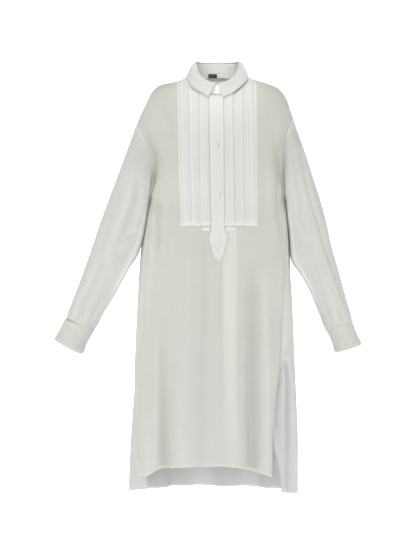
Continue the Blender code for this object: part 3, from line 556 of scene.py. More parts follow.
def front_line_x(line, z):
    hem = FRONT_HEM[4].z
    if z > BIB_HEM:
        return mix(line.bib, line.top, (z - BIB_HEM) / (0 - BIB_HEM))
    return mix(line.bib, line.hem, min((BIB_HEM - z) / (BIB_HEM - hem), 1.0))


def lower_front():
    columns = []
    places = [(-1, FRONT_LINES[0], q) for q in SIDE_STEPS[::-1]]
    places += [(0, line, 0.0) for line in FRONT_LINES]
    places += [(1, FRONT_LINES[-1], q) for q in SIDE_STEPS]
    for side, line, q in places:
        corner = FRONT_HEM[-1].place if side > 0 else FRONT_HEM[0].place
        across = mix(line.hem / HEM_HALF, side, q)
        foot_x = mix(line.hem, corner, q)
        points = []
        for z in row_heights(across, float(along(FRONT_HEM, "z", foot_x))):
            edge = edge_angle(z, "right_front" if side < 0 else "left_front") - SIDE_TRIM
            angle = mix(angle_at(z, front_line_x(line, z)), side * edge, q)
            points.append(body_point(z, angle))
        columns.append(np.array(points))
    return np.stack(columns, axis=1)


def slit_inset(z, slit, near):
    """How far the back panel's edge lies inside the front panel's, below a slit."""
    return 0.0050 * ease((slit - z) / 0.035) * ease((45 - near) / 25)


def lower_back():
    columns = []
    for number in range(BACK_COLUMNS + 1):
        q = number / BACK_COLUMNS
        points = []
        for z in row_heights(1 - 2 * q, float(along(BACK_HEM, "z", mix(50, 312, q)))):
            left = math.degrees(edge_angle(z, "left_back") + SIDE_TRIM)
            right = 360 - math.degrees(edge_angle(z, "right_back") + SIDE_TRIM)
            angle = mix(left, right, q)
            inset = slit_inset(z, CROSS_ROWS[-1].left, angle - left)
            inset += slit_inset(z, CROSS_ROWS[-1].right, right - angle)
            points.append(body_point(z, math.radians(angle), inset))
        columns.append(np.array(points))
    return np.stack(columns, axis=1)


def grid_normals(grid, closed=False):
    """Unit normals of a grid whose rows run down and whose columns run with the angle."""
    if closed:
        across = np.roll(grid, -1, axis=1) - np.roll(grid, 1, axis=1)
    else:
        across = np.gradient(grid, axis=1)
    down = np.gradient(grid, axis=0)
    normals = np.cross(down, across)
    return normals / np.linalg.norm(normals, axis=2, keepdims=True)


def fold_lift(folds, x, z):
    lift = np.zeros_like(x)
    for fold in folds:
        t = np.clip((fold.start - z) / (fold.start - fold.end), 0, 1)
        centre = mix(fold.x_start, fold.x_end, t)
        rise = mix(fold.rise_start, fold.rise_end, t) * ease((fold.start - z) / 0.08)
        lift += rise * np.exp(-(((x - centre) / fold.width) ** 2))
    return lift


def line_column(name):
    return len(SIDE_STEPS) + LINE_INDEX[name]


def on_front(grid, x, z):
    """The front panel's surface point at a place across and a height."""
    xs, ys = [], []
    for column in range(grid.shape[1]):
        heights = grid[::-1, column, 2]
        xs.append(np.interp(z, heights, grid[::-1, column, 0]))
        ys.append(np.interp(z, heights, grid[::-1, column, 1]))
    order = np.argsort(xs)
    return np.array([x, np.interp(x, np.array(xs)[order], np.array(ys)[order]), z])


def front_normal(grid, x, z, reach=0.004):
    by_x = (on_front(grid, x + reach, z) - on_front(grid, x - reach, z))[1] / (2 * reach)
    by_z = (on_front(grid, x, z + reach) - on_front(grid, x, z - reach))[1] / (2 * reach)
    normal = np.array([by_x, -1.0, by_z])
    return normal / np.linalg.norm(normal)


def lay_rows(grid, rows, shares, thickness):
    """Inner and outer points of a piece laid on the front, from rows of height and two edges."""
    inner, outer = [], []
    for number, (z, right, left) in enumerate(rows):
        thick = thickness(number, z)
        for share in shares:
            x = mix(right, left, share)
            point, normal = on_front(grid, x, z), front_normal(grid, x, z)
            inner.append(point + normal * LAY_GAP)
            outer.append(point + normal * (LAY_GAP + thick))
    shape = (len(rows), len(shares), 3)
    return np.array(inner).reshape(shape), np.array(outer).reshape(shape)


def section(centre, along_width, half, front, back, turn):
    """A point of a sleeve's oval: turn is 0 at its outer edge and grows round the front."""
    depth = front if math.sin(turn) > 0 else back
    return centre + along_width * half * math.cos(turn) - np.array([0, depth * math.sin(turn), 0])


def sleeve_grid(side):
    rows = sleeve_rows(side)
    around = 2 * UPPER_ROWS
    grid = []
    for t in SLEEVE_PLACES:
        outer = np.array([along(rows, "outer_x", t), 0.0, along(rows, "outer_z", t)])
        inner = np.array([along(rows, "inner_x", t), 0.0, along(rows, "inner_z", t)])
        centre, span = (outer + inner) / 2, outer - inner
        half = np.linalg.norm(span) / 2
        width = span / (2 * half)
        front, back = float(along(rows, "front", t)), float(along(rows, "back", t))
        settle = float(ease(1 - t / 0.2))
        ring = []
        for step in range(around):
            turn = 2 * math.pi * step / around
            point = section(centre, width, half, front, back, turn)
            scoop = (SCOOP_FRONT if turn < math.pi else SCOOP_BACK)[side]
            point[0] -= scoop * math.sin(turn) ** 2 * settle
            point[1] += ARMHOLE_Y * (1 + math.cos(turn)) / 2 * settle
            if t == 0.0:
                on_front_half = turn < math.pi
                point = armhole_point(side, turn if on_front_half else 2 * math.pi - turn, on_front_half)
                point[0] *= side
                point += SLEEVE_GAP * np.array([0.8, 0, -0.6])
            point[0] *= side
            ring.append(point)
        grid.append(ring)
    return np.array(grid)


def cuff_ring(outer, inner, depth, grow=0.0):
    outer = np.array([outer[0], 0.0, outer[1]])
    inner = np.array([inner[0], 0.0, inner[1]])
    span = outer - inner
    half = np.linalg.norm(span) / 2
    centre, width = (outer + inner) / 2, span / (2 * half)
    half, depth = half + grow, depth + grow
    turns = [2 * math.pi * step / CUFF_STEPS for step in range(CUFF_STEPS)]
    return np.array([section(centre, width, half, depth, depth, turn) for turn in turns])


def cuff_grid(side, cuff, sleeve_end):
    """A double cuff as one folded band: down inside from the sleeve's end, then back up outside."""
    foot = cuff_ring(cuff.foot_outer, cuff.foot_inner, cuff.depth)
    inner_foot = cuff_ring(cuff.foot_outer, cuff.foot_inner, cuff.depth, -cuff.layer_gap)
    top = cuff_ring(cuff.top_outer, cuff.top_inner, cuff.depth)
    sleeve_outer = (sleeve_end.outer_x, sleeve_end.outer_z)
    sleeve_inner = (sleeve_end.inner_x, sleeve_end.inner_z)
    start = cuff_ring(sleeve_outer, sleeve_inner, sleeve_end.front, CUFF_SEAM_GROW)
    down = inner_foot - start
    start = start + down / np.linalg.norm(down, axis=1, keepdims=True) * CUFF_SEAM_GAP
    drop = (foot - top) / np.linalg.norm(foot - top, axis=1, keepdims=True)
    rows = [start, mix(start, inner_foot, 0.5), inner_foot]
    rows.append(mix(inner_foot, foot, 0.5) + drop * cuff.layer_gap * 0.55)
    rows += [foot, mix(foot, top, 0.33), mix(foot, top, 0.66), top]
    grid = np.array(rows)
    grid[..., 0] *= side
    return grid


def stand_grid():
    """The stand: a band round the neck whose ends lap at the front, the wearer's left over."""
    grid = []
    angles = np.linspace(-STAND_LAP_TURN, 2 * math.pi + STAND_LAP_TURN, RING_STEPS + 1)
    for share in (1.0, 0.66, 0.33, 0.0):
        row = []
        for angle in angles:
            low, high = neck_point(angle), stand_point(angle)
            point = mix(low + np.array([0, 0, STAND_SEAM_RISE]), high, share)
            from_start = ease(1 - (angle + STAND_LAP_TURN) / STAND_LAP_REACH)
            from_end = ease(1 - (2 * math.pi + STAND_LAP_TURN - angle) / STAND_LAP_REACH)
            out = np.array([math.sin(angle), -math.cos(angle), 0.0])
            row.append(point + out * STAND_LAP * (from_start - from_end))
        grid.append(row)
    return np.array(grid)


# How the leaf turns over the stand's top edge: outwards and up from it
LEAF_TURN = ((-0.0016, 0.0005), (-0.0010, 0.0028), (0.0012, 0.0038))
LEAF_ROLL = (0.0034, 0.0018)
LEAF_SHARES, LEAF_BULGE = (0.0, 0.22, 0.48, 0.75, 1.0), 0.0022


def fall_grid():
    """The leaf: up from the stand's top edge, over the roll line and down to its outer edge."""
    half = RING_STEPS // 2
    right = [-math.radians(a) for a in np.linspace(LEAF_RIGHT[0].angle, 180, half + 1)]
    left = [math.radians(a) for a in np.linspace(180, LEAF_LEFT[0].angle, half + 1)]
    up = np.array([0, 0, 1.0])
    columns = []
    for number, angle in enumerate(right + left[1:]):
        rows, side = (LEAF_RIGHT, -1) if number <= half else (LEAF_LEFT, 1)
        degrees = abs(math.degrees(angle))
        edge = np.array([float(along(rows, axis, degrees)) for axis in "xyz"])
        edge[0] *= side
        top = stand_point(angle)
        out = np.array([math.sin(angle), -math.cos(angle), 0.0])
        roll = top + out * LEAF_ROLL[0] + up * LEAF_ROLL[1]
        column = [top + out * outwards + up * rise for outwards, rise in LEAF_TURN]
        for t in LEAF_SHARES:
            bulge = LEAF_BULGE * math.sin(math.pi * min(t * 1.3, 1.0))
            column.append(mix(roll, edge, t) + out * bulge)
        columns.append(column)
    return np.transpose(np.array(columns), (1, 0, 2))


# Creases, each along its own line of places across and heights
CREASE = namedtuple("Crease", "line width rise start_fade end_fade")
FRONT_CREASES = rows_of(
    CREASE,
    (((0.055, -0.424), (0.056, -0.62), (0.056, -0.85), (0.058, -1.04)), 0.0040, -0.0010, 0.02, 0.3),
    (((0.012, -0.424), (0.010, -0.60), (0.012, -0.85), (0.016, -1.04)), 0.0040, -0.0008, 0.02, 0.4),
    (((0.086, -0.440), (0.094, -0.62), (0.096, -0.80), (0.098, -1.05)), 0.0150, -0.0075, 0.25, 0.0),
    (((0.124, -0.520), (0.131, -0.70), (0.136, -0.90), (0.139, -1.05)), 0.0090, 0.0036, 0.25, 0.0),
    (((-0.030, -0.424), (-0.034, -0.60), (-0.040, -0.85), (-0.044, -1.04)), 0.0080, -0.0022, 0.10, 0.0),
    (((-0.072, -0.415), (-0.074, -0.60), (-0.080, -0.80), (-0.084, -1.04)), 0.0140, 0.0026, 0.15, 0.0),
    (((-0.146, -0.560), (-0.143, -0.74), (-0.140, -0.92), (-0.141, -1.05)), 0.0130, -0.0020, 0.35, 0.0),
    (((-0.158, -0.660), (-0.157, -0.80), (-0.158, -0.95), (-0.161, -1.06)), 0.0070, 0.0040, 0.30, 0.0),
    (((-0.128, -0.240), (-0.131, -0.33), (-0.139, -0.44), (-0.146, -0.56)), 0.0100, 0.0022, 0.25, 0.3),
    (((0.130, -0.150), (0.136, -0.27), (0.146, -0.40), (0.152, -0.52)), 0.0100, 0.0024, 0.25, 0.3),
    (((0.158, -0.240), (0.160, -0.33), (0.166, -0.42), (0.169, -0.50)), 0.0050, -0.0030, 0.25, 0.3),
    (((-0.166, -0.290), (-0.158, -0.36), (-0.154, -0.44), (-0.155, -0.52)), 0.0060, -0.0030, 0.20, 0.4),
    (((-0.150, -0.075), (-0.128, -0.105), (-0.116, -0.150)), 0.0090, -0.0020, 0.3, 0.4),
    (((0.150, -0.078), (0.130, -0.110), (0.120, -0.160)), 0.0090, -0.0020, 0.3, 0.4),
    (((-0.175, -0.470), (-0.150, -0.474), (-0.120, -0.470)), 0.0060, 0.0012, 0.3, 0.5),
)
BACK_CREASES = rows_of(
    CREASE,
    (((-0.062, -0.10), (-0.068, -0.40), (-0.072, -0.75), (-0.075, -1.12)), 0.0090, -0.0040, 0.10, 0.0),
    (((0.046, -0.10), (0.050, -0.40), (0.050, -0.75), (0.048, -1.12)), 0.0090, -0.0045, 0.10, 0.0),
    (((0.100, -0.30), (0.106, -0.55), (0.110, -0.80), (0.113, -1.12)), 0.0080, 0.0040, 0.20, 0.0),
    (((-0.120, -0.35), (-0.124, -0.60), (-0.126, -0.85), (-0.128, -1.12)), 0.0080, 0.0050, 0.20, 0.0),
    (((-0.008, -0.18), (-0.012, -0.50), (-0.016, -0.80), (-0.018, -1.12)), 0.0100, 0.0034, 0.20, 0.0),
    (((-0.160, -0.200), (-0.110, -0.235), (-0.050, -0.245)), 0.0120, -0.0026, 0.3, 0.5),
    (((0.160, -0.205), (0.105, -0.240), (0.045, -0.262)), 0.0120, -0.0024, 0.3, 0.5),
    (((-0.165, -0.300), (-0.120, -0.350), (-0.080, -0.430)), 0.0100, 0.0024, 0.3, 0.5),
    (((0.168, -0.310), (0.130, -0.360), (0.092, -0.450)), 0.0100, 0.0024, 0.3, 0.5),
)
# The gathered top of the slit on the wearer's left: folds fanning down the wrapped back panel
GATHER_CREASES = rows_of(
    CREASE,
    (((0.172, -0.752), (0.162, -0.800), (0.156, -0.880), (0.153, -1.000)), 0.0050, -0.0070, 0.05, 0.3),
    (((0.176, -0.752), (0.172, -0.820), (0.171, -0.920), (0.170, -1.090)), 0.0045, 0.0065, 0.05, 0.1),
    (((0.180, -0.750), (0.184, -0.820), (0.187, -0.930), (0.188, -1.100)), 0.0055, -0.0080, 0.05, 0.0),
    (((0.184, -0.748), (0.195, -0.810), (0.202, -0.920), (0.204, -1.100)), 0.0050, 0.0060, 0.05, 0.0),
    (((0.160, -0.728), (0.176, -0.738), (0.196, -0.730)), 0.0035, -0.0032, 0.3, 0.3),
    (((0.163, -0.742), (0.180, -0.748), (0.200, -0.744)), 0.0030, 0.0030, 0.3, 0.3),
)
SLEEVE_RIGHT_CREASES = rows_of(
    CREASE,
    (((-0.200, -0.285), (-0.222, -0.350), (-0.250, -0.420), (-0.275, -0.475)), 0.0075, -0.0045, 0.2, 0.4),
    (((-0.215, -0.235), (-0.240, -0.330), (-0.268, -0.410), (-0.300, -0.500)), 0.0090, 0.0030, 0.2, 0.4),
    (((-0.245, -0.250), (-0.268, -0.330), (-0.300, -0.430), (-0.330, -0.530)), 0.0100, -0.0030, 0.3, 0.3),
    (((-0.285, -0.470), (-0.318, -0.535), (-0.345, -0.590), (-0.362, -0.640)), 0.0070, -0.0040, 0.3, 0.0),
    (((-0.310, -0.450), (-0.340, -0.530), (-0.368, -0.590), (-0.384, -0.640)), 0.0080, 0.0030, 0.3, 0.0),
    (((-0.205, -0.420), (-0.235, -0.430), (-0.262, -0.425)), 0.0070, -0.0026, 0.2, 0.5),
    (((-0.222, -0.470), (-0.250, -0.485), (-0.280, -0.482)), 0.0060, -0.0024, 0.2, 0.5),
    (((-0.200, -0.345), (-0.215, -0.395), (-0.226, -0.450)), 0.0070, 0.0032, 0.2, 0.4),
)
SLEEVE_LEFT_CREASES = rows_of(
    CREASE,
    (((0.205, -0.128), (0.218, -0.184), (0.231, -0.259), (0.247, -0.3245), (0.270, -0.393),
     (0.287, -0.456), (0.309, -0.516), (0.331, -0.579), (0.343, -0.620)), 0.0050, -0.0045, 0.08, 0.05),
    (((0.212, -0.150), (0.229, -0.215), (0.245, -0.300), (0.268, -0.370), (0.290, -0.440)),
     0.0070, 0.0034, 0.2, 0.4),
    (((0.196, -0.210), (0.207, -0.290), (0.220, -0.370), (0.236, -0.440)), 0.0080, -0.0034, 0.2, 0.4),
    (((0.200, -0.300), (0.212, -0.360), (0.214, -0.430)), 0.0070, 0.0030, 0.2, 0.4),
    (((0.208, -0.440), (0.236, -0.452), (0.262, -0.446)), 0.0060, -0.0026, 0.2, 0.5),
    (((0.222, -0.505), (0.250, -0.516), (0.276, -0.508)), 0.0060, -0.0022, 0.2, 0.5),
    (((0.255, -0.470), (0.280, -0.540), (0.302, -0.600), (0.312, -0.640)), 0.0070, 0.0030, 0.3, 0.0),
)
# Strips of doubled cloth down the front, the second one a painted highlight along the wearer's right side edge:
# height, right and left edge across, and strength
DOUBLED_AND_PAINTED_LIGHT_STRIPS = (
    ((-0.39, 0.016, 0.052, 0.0), (-0.405, 0.016, 0.053, 0.95), (-0.62, 0.014, 0.052, 0.95),
     (-0.80, 0.018, 0.050, 0.65), (-1.05, 0.024, 0.050, 0.15)),
    ((-0.10, -0.1600, -0.1520, 0.0), (-0.30, -0.1680, -0.1600, 0.3), (-0.45, -0.1810, -0.1640, 0.45),
     (-0.70, -0.1960, -0.1880, 0.2), (-1.05, -0.205, -0.198, 0.2)),
    ((-0.45, 0.118, 0.132, 0.0), (-0.60, 0.118, 0.134, 0.3), (-0.95, 0.124, 0.138, 0.3),
     (-1.05, 0.124, 0.136, 0.0)),
)
# Small pleats that take each sleeve in to its cuff, by their turn round it from the outer edge
PLEAT = namedtuple("Pleat", "turn width rise reach")
CUFF_PLEATS = rows_of(
    PLEAT,
    (0.55, 0.10, -0.0030, 0.10),
    (1.25, 0.12, -0.0036, 0.14),
    (1.62, 0.09, 0.0020, 0.12),
    (2.10, 0.12, -0.0034, 0.12),
    (2.75, 0.12, -0.0026, 0.09),
    (3.60, 0.12, -0.0026, 0.10),
    (4.30, 0.14, -0.0034, 0.13),
    (4.95, 0.12, -0.0030, 0.11),
    (5.60, 0.12, -0.0026, 0.10),
)
# How the sleeve's end hangs over its cuff: where it starts, and where the cloth eases in at the seam
HANG_REACH, PLEAT_SEAM_GAP, PLEAT_SEAM_EASE = 0.040, 0.002, 0.014

# Rows of the refined panels: the one where the slits begin, and the bib's last one
SLIT_ROW = (UPPER_ROWS + len(CROSS_ROWS)) * ROW_STEPS
BIB_LAST_ROW = (UPPER_ROWS + 2) * ROW_STEPS

# Buttons: their turned profile from the middle out, how they lean, and the crossed thread on them
BUTTON_PROFILE = (
    (0.0, 0.0006), (0.0024, 0.0006), (0.0030, 0.0010), (0.0037, 0.0011), (0.0043, 0.0007),
    (0.0045, 0.0), (0.0042, -0.0007), (0.0032, -0.0010), (0.0, -0.0010),
)
BUTTON_STEPS = 40
BUTTON_TILTS = {"collar_button": -11, "stand_button": 14}
CROSS_LENGTH, CROSS_OFFSET, CROSS_RADIUS = 0.0030, 0.00018, 0.00016
CROSS_HEIGHT, CROSS_BOW, CROSS_STEPS = 0.00075, 0.00035, 6

# Buttonholes in the placket: across, top and bottom
BUTTONHOLES = ((0.0010, -0.1815, -0.2000), (0.0060, -0.3160, -0.3300), (0.0005, -0.4620, -0.4700))
BUTTONHOLE_HALF, BUTTONHOLE_STITCH_HALF, BUTTONHOLE_PITCH, BUTTONHOLE_BAR = 0.0008, 0.0007, 0.0006, 0.0010

# The tapes inside the back of the neck: name, from and to across, and finish; the dark neck label's colour is
# painted shadow on the label's shaded part
TAPES = (("neck_label", -0.0270, -0.0010, "label"), ("size_tab", 0.0, 0.0230, "size_tab"))

# How far in from their edges the seams are stitched
HEM_INSET, PLACKET_INSET, LEAF_FOOT_INSET, LEAF_END_INSET, STAND_INSET = 0.0075, 0.0040, 0.0055, 0.0050, 0.0020

# Each cloth: its colour, the colour where it is doubled, and how cloudy, rough, sheer, uneven and warm it is
CLOTH = namedtuple("Cloth", "name colour dense clouds rough through bump warmth", defaults=(0.0,))
CLOTHS = {
    "voile": CLOTH("sheer_voile", (0.64, 0.64, 0.60), (0.735, 0.737, 0.695), 0.35, 0.82, 0.35, 0.5, 0.55),
    "back_voile": CLOTH("back_voile", (0.648, 0.653, 0.64), (0.72, 0.721, 0.69), 0.35, 0.82, 0.35, 0.5, 0.8),
    "sleeve_voile": CLOTH("sleeve_voile", (0.670, 0.675, 0.645), (0.790, 0.793, 0.768), 0.35, 0.82, 0.33, 0.5),
    "bib": CLOTH("tucked_voile", (0.680, 0.684, 0.662), (0.735, 0.738, 0.710), 0.30, 0.80, 0.25, 0.5),
    "placket": CLOTH("placket_cloth", (0.662, 0.667, 0.646), (0.700, 0.703, 0.676), 0.25, 0.80, 0.20, 0.5),
    "cuff": CLOTH("cuff_cloth", (0.625, 0.628, 0.590), (0.705, 0.708, 0.675), 0.3, 0.80, 0.25, 0.5),
    # The stand's cloth is much paler than the other cloths: painted light on the shaded inside of the neck
    "stand": CLOTH("stand_cloth_painted_light", (0.86, 0.875, 0.85), (0.90, 0.91, 0.88), 0.2, 0.78, 0.35, 0.5),
    "collar": CLOTH("stiffened_cloth", (0.630, 0.638, 0.618), (0.670, 0.676, 0.655), 0.25, 0.78, 0.30, 0.5),
    # The label's near-black colour is painted shadow on its shaded part; the buttonhole slits use it too
    "label": CLOTH("painted_shadow_tape", (0.055, 0.040, 0.030), (0.09, 0.07, 0.055), 0.2, 0.7, 0.0, 0.8),
    "size_tab": CLOTH("tan_tape", (0.76, 0.68, 0.62), (0.80, 0.73, 0.67), 0.2, 0.7, 0.0, 0.8),
}
SLUB_SCALES = ((900.0, 26.0, 1.0), (22.0, 820.0, 1.0))
# How far the tone darkens and pales each colour: for slubs and clouds, and for the painted shade in fold
# troughs and painted highlights on ridges
TROUGH_SHARES, RIDGE_SHARE = (0.87, 0.87, 0.85), 1.12
WARM_SHIFT, COOL_SHADE = (0.010, 0.008, -0.035), (0.985, 0.990, 1.020, 1.0)
BUMP_DEPTH = 0.0003

# The studio: each light's place, what it shines on, its size, watts, colour and beam in degrees
WHITE = (1.0, 1.0, 1.0)
LIGHT = namedtuple("Light", "name place aim size watts colour spread", defaults=(WHITE, 180))
LIGHTS = rows_of(
    LIGHT,
    ("key", (-1.7, -3.1, 1.6), (0.0, 0.0, -0.50), 1.1, 30.0, (1.0, 0.99, 0.97)),
    ("front_light", (0.05, -4.7, -0.15), (0.0, 0.0, -0.40), 1.6, 46.0),
    ("low_left_light", (-1.9, -3.2, -1.3), (0.0, 0.0, -0.45), 1.4, 12.0),
    ("low_right_light", (1.9, -3.2, -1.3), (0.0, 0.0, -0.45), 1.4, 10.5),
    ("neck_light", (0.15, -1.5, 1.3), (0.0, 0.02, 0.02), 0.3, 0.160, WHITE, 8),
    ("left_side_light", (-2.6, -0.8, -0.1), (0.0, 0.0, -0.4), 2.0, 21.0),
    ("right_side_light", (2.6, -0.8, -0.1), (0.0, 0.0, -0.4), 2.0, 24.0),
    ("backdrop_light", (0.0, 5.0, 3.0), (0.0, 7.3, -0.8), 3.0, 160.0),
)
# The paper behind: its floor, where it starts to curve up, the curve's radius, and its top and half width
FLOOR, SWEEP_START, SWEEP_RADIUS, SWEEP_FRONT, SWEEP_TOP, SWEEP_HALF = -1.62, 6.2, 1.2, -9.0, 9.0, 12.0
PAPER_GLOW, ROOM_LIGHT = 0.55, 0.45


# Shader maths as expressions
class Socket:
    """A node's output; sums on it add Math nodes."""

    def __init__(self, finish, socket):
        self.finish = finish
        self.socket = socket

    def math(self, operation, first, second):
        return self.finish.node("ShaderNodeMath", {0: first, 1: second}, operation=operation)

    def __add__(self, other):
        return self.math("ADD", self, other)

    def __sub__(self, other):
        return self.math("SUBTRACT", self, other)

    def __rsub__(self, other):
        return self.math("SUBTRACT", other, self)

    def __mul__(self, other):
        return self.math("MULTIPLY", self, other)

    def sine(self):
        return self.math("SINE", self, 0.0)

    __radd__ = __add__
    __rmul__ = __mul__


class Finish:
    """A material and its node tree, built by one method that takes a node's type, inputs and settings."""

    def __init__(self, name):
        self.material = bpy.data.materials.new(name)
        self.material.use_nodes = True
        self.tree = self.material.node_tree
        self.shader = self.tree.nodes["Principled BSDF"]
        self.output = self.tree.nodes["Material Output"]

    def put(self, socket, value):
        if isinstance(value, Socket):
            self.tree.links.new(value.socket, socket)
        else:
            socket.default_value = value

    def node(self, kind, inputs=None, output=0, **settings):
        made = self.tree.nodes.new(kind)
        for name, value in settings.items():
            setattr(made, name, value)
        for name, value in (inputs or {}).items():
            self.put(made.inputs[name], value)
        return Socket(self, made.outputs[output])

    def mix(self, share, first, second):
        return self.node("ShaderNodeMix", {0: share, 6: first, 7: second}, output=2, data_type="RGBA")

    def set(self, **values):
        for name, value in values.items():
            self.put(self.shader.inputs[name.replace("_", " ")], value)


def cloth_finish(cloth):
    """Voile: crossed threads and slubs on the piece's own map, paler where seams double it, with painted shade
    in the folds' troughs, painted highlights on their ridges, and the other painted light and shade that the
    fold attribute carries."""
    finish = Finish(cloth.name)
    dense = cloth.dense + (1.0,)
    place = finish.node("ShaderNodeUVMap", uv_map="cloth")
    seam = finish.node("ShaderNodeAttribute", output=2, attribute_name="seam")
    fold = finish.node("ShaderNodeAttribute", output=2, attribute_name="fold")
    body = finish.node("ShaderNodeTexCoord", output=3)
    split = finish.node("ShaderNodeSeparateXYZ", {0: place})
    across, down = split, Socket(finish, split.socket.node.outputs[1])
    turn = 2 * math.pi / THREAD_PITCH
    warp, weft = (across * turn).sine(), (down * turn).sine()
    weave = warp * weft
    slubs = []
    for scale in SLUB_SCALES:
        stretched = finish.node("ShaderNodeMapping", {"Vector": place, "Scale": scale})
        slubs.append(finish.node("ShaderNodeTexNoise", {"Vector": stretched, "Scale": 1.0, "Detail": 2.0}))
    cloud = finish.node("ShaderNodeTexNoise", {"Vector": body, "Scale": 16.0, "Detail": 3.0, "Roughness": 0.55})
    # The tone adds the fold attribute's painted shade and painted highlights to the slubs, clouds and weave
    tone = (slubs[0] * 1.2 + slubs[1] * 0.8 - 1.0) * 0.6 + (cloud - 0.5) * cloth.clouds + weave * 0.02 + fold
    dark = tuple(part * share for part, share in zip(cloth.colour, TROUGH_SHARES)) + (1.0,)
    light = tuple(min(part * RIDGE_SHARE, 1.0) for part in cloth.colour) + (1.0,)
    plain = finish.mix(tone, dark, light)
    if cloth.warmth:
        patches = finish.node("ShaderNodeTexNoise", {"Vector": body, "Scale": 3.2, "Detail": 1.0})
        height = finish.node("ShaderNodeSeparateXYZ", {0: body}, output=2)
        warm = tuple(1.0 + cloth.warmth * part for part in WARM_SHIFT) + (1.0,)
        shade = finish.mix(patches + height * 1.3 + 0.85, COOL_SHADE, warm)
        plain = finish.node(
            "ShaderNodeMix", {0: 1.0, 6: plain, 7: shade}, output=2, data_type="RGBA", blend_type="MULTIPLY"
        )
    finish.set(Base_Color=finish.mix(seam, plain, dense))
    finish.set(Roughness=(slubs[0] - 0.5) * 0.12 + cloth.rough)
    height = weave * 0.5 + (slubs[0] + slubs[1]) * 0.8
    normal = finish.node("ShaderNodeBump", {"Strength": cloth.bump, "Distance": BUMP_DEPTH, "Height": height})
    finish.set(Normal=normal, Sheen_Weight=0.12, Sheen_Roughness=0.6, Specular_IOR_Level=0.25)
    if cloth.through:
        lit = finish.node("ShaderNodeBsdfTranslucent", {"Color": dense, "Normal": normal})
        face = Socket(finish, finish.shader.outputs[0])
        both = finish.node("ShaderNodeMixShader", {0: cloth.through, 1: face, 2: lit})
        finish.put(finish.output.inputs["Surface"], both)
    return finish.material


def smooth_along(grid, steps, closed=False):
    """More rows between a grid's rows, on smooth curves through them."""
    points = np.concatenate([grid[-1:], grid, grid[:2]]) if closed else grid
    spans = np.linalg.norm(np.diff(points, axis=0), axis=2).mean(axis=1)
    pace = np.diff(points, axis=0) / spans[:, None, None]
    slopes = np.empty_like(points)
    slopes[0], slopes[-1] = pace[0], pace[-1]
    weight = (spans[1:] / (spans[1:] + spans[:-1]))[:, None, None]
    slopes[1:-1] = pace[:-1] * weight + pace[1:] * (1 - weight)
    first, last = (1, len(points) - 2) if closed else (0, len(points) - 1)
    rows = []
    for i in range(first, last):
        for step in range(steps):
            t = step / steps
            start = (1 + 2 * t) * (1 - t) ** 2 * points[i] + t * (1 - t) ** 2 * spans[i] * slopes[i]
            end = t * t * (3 - 2 * t) * points[i + 1] + t * t * (t - 1) * spans[i] * slopes[i + 1]
            rows.append(start + end)
    if not closed:
        rows.append(points[-1])
    return np.array(rows)


def refine(grid, row_steps, column_steps, closed=False):
    rows = smooth_along(grid, row_steps)
    return smooth_along(rows.swapaxes(0, 1), column_steps, closed).swapaxes(0, 1)


def crease_lift(creases, x, z):
    """How far the listed creases lift each place: a ridge where the rise is positive."""
    lift = np.zeros_like(x)
    for crease in creases:
        line = np.array(crease.line)
        lengths = np.linalg.norm(np.diff(line, axis=0), axis=1)
        starts = np.concatenate([[0], np.cumsum(lengths)])
        nearest = np.full(x.shape, np.inf)
        along_line = np.zeros_like(x)
        for start, end, length, passed in zip(line, line[1:], lengths, starts):
            heading = (end - start) / length
            reach = (x - start[0]) * heading[0] + (z - start[1]) * heading[1]
            reach = np.clip(reach, 0, length)
            off = np.hypot(x - start[0] - reach * heading[0], z - start[1] - reach * heading[1])
            closer = off < nearest
            nearest = np.where(closer, off, nearest)
            along_line = np.where(closer, passed + reach, along_line)
        share = along_line / starts[-1]
        fade = ease(share / crease.start_fade) if crease.start_fade else 1.0
        fade = fade * (ease((1 - share) / crease.end_fade) if crease.end_fade else 1.0)
        lift += crease.rise * fade * np.exp(-((nearest / crease.width) ** 2))
    return lift


def waver(points, scale, seed):
    """Slow unevenness of worn cloth, longer down than across."""
    flat = points.reshape(-1, 3)
    values = [noise.noise(Vector((p[0] * scale, p[1] * scale, p[2] * scale * 0.3 + seed))) for p in flat]
    return np.array(values).reshape(points.shape[:2])


def arc_across(grid):
    steps = np.linalg.norm(np.diff(grid, axis=1), axis=2)
    return np.concatenate([np.zeros((len(grid), 1)), np.cumsum(steps, axis=1)], axis=1)


def arc_down(grid):
    steps = np.linalg.norm(np.diff(grid, axis=0), axis=2)
    return np.concatenate([np.zeros((1, grid.shape[1])), np.cumsum(steps, axis=0)])


def map_places(grid, closed=False):
    """Lengths across and down the cloth, in metres, for its thread map."""
    ring = np.concatenate([grid, grid[:, :1]], axis=1) if closed else grid
    across = arc_across(ring)
    middle = across.shape[1] // 2
    return across - across[:, middle : middle + 1], arc_down(ring)


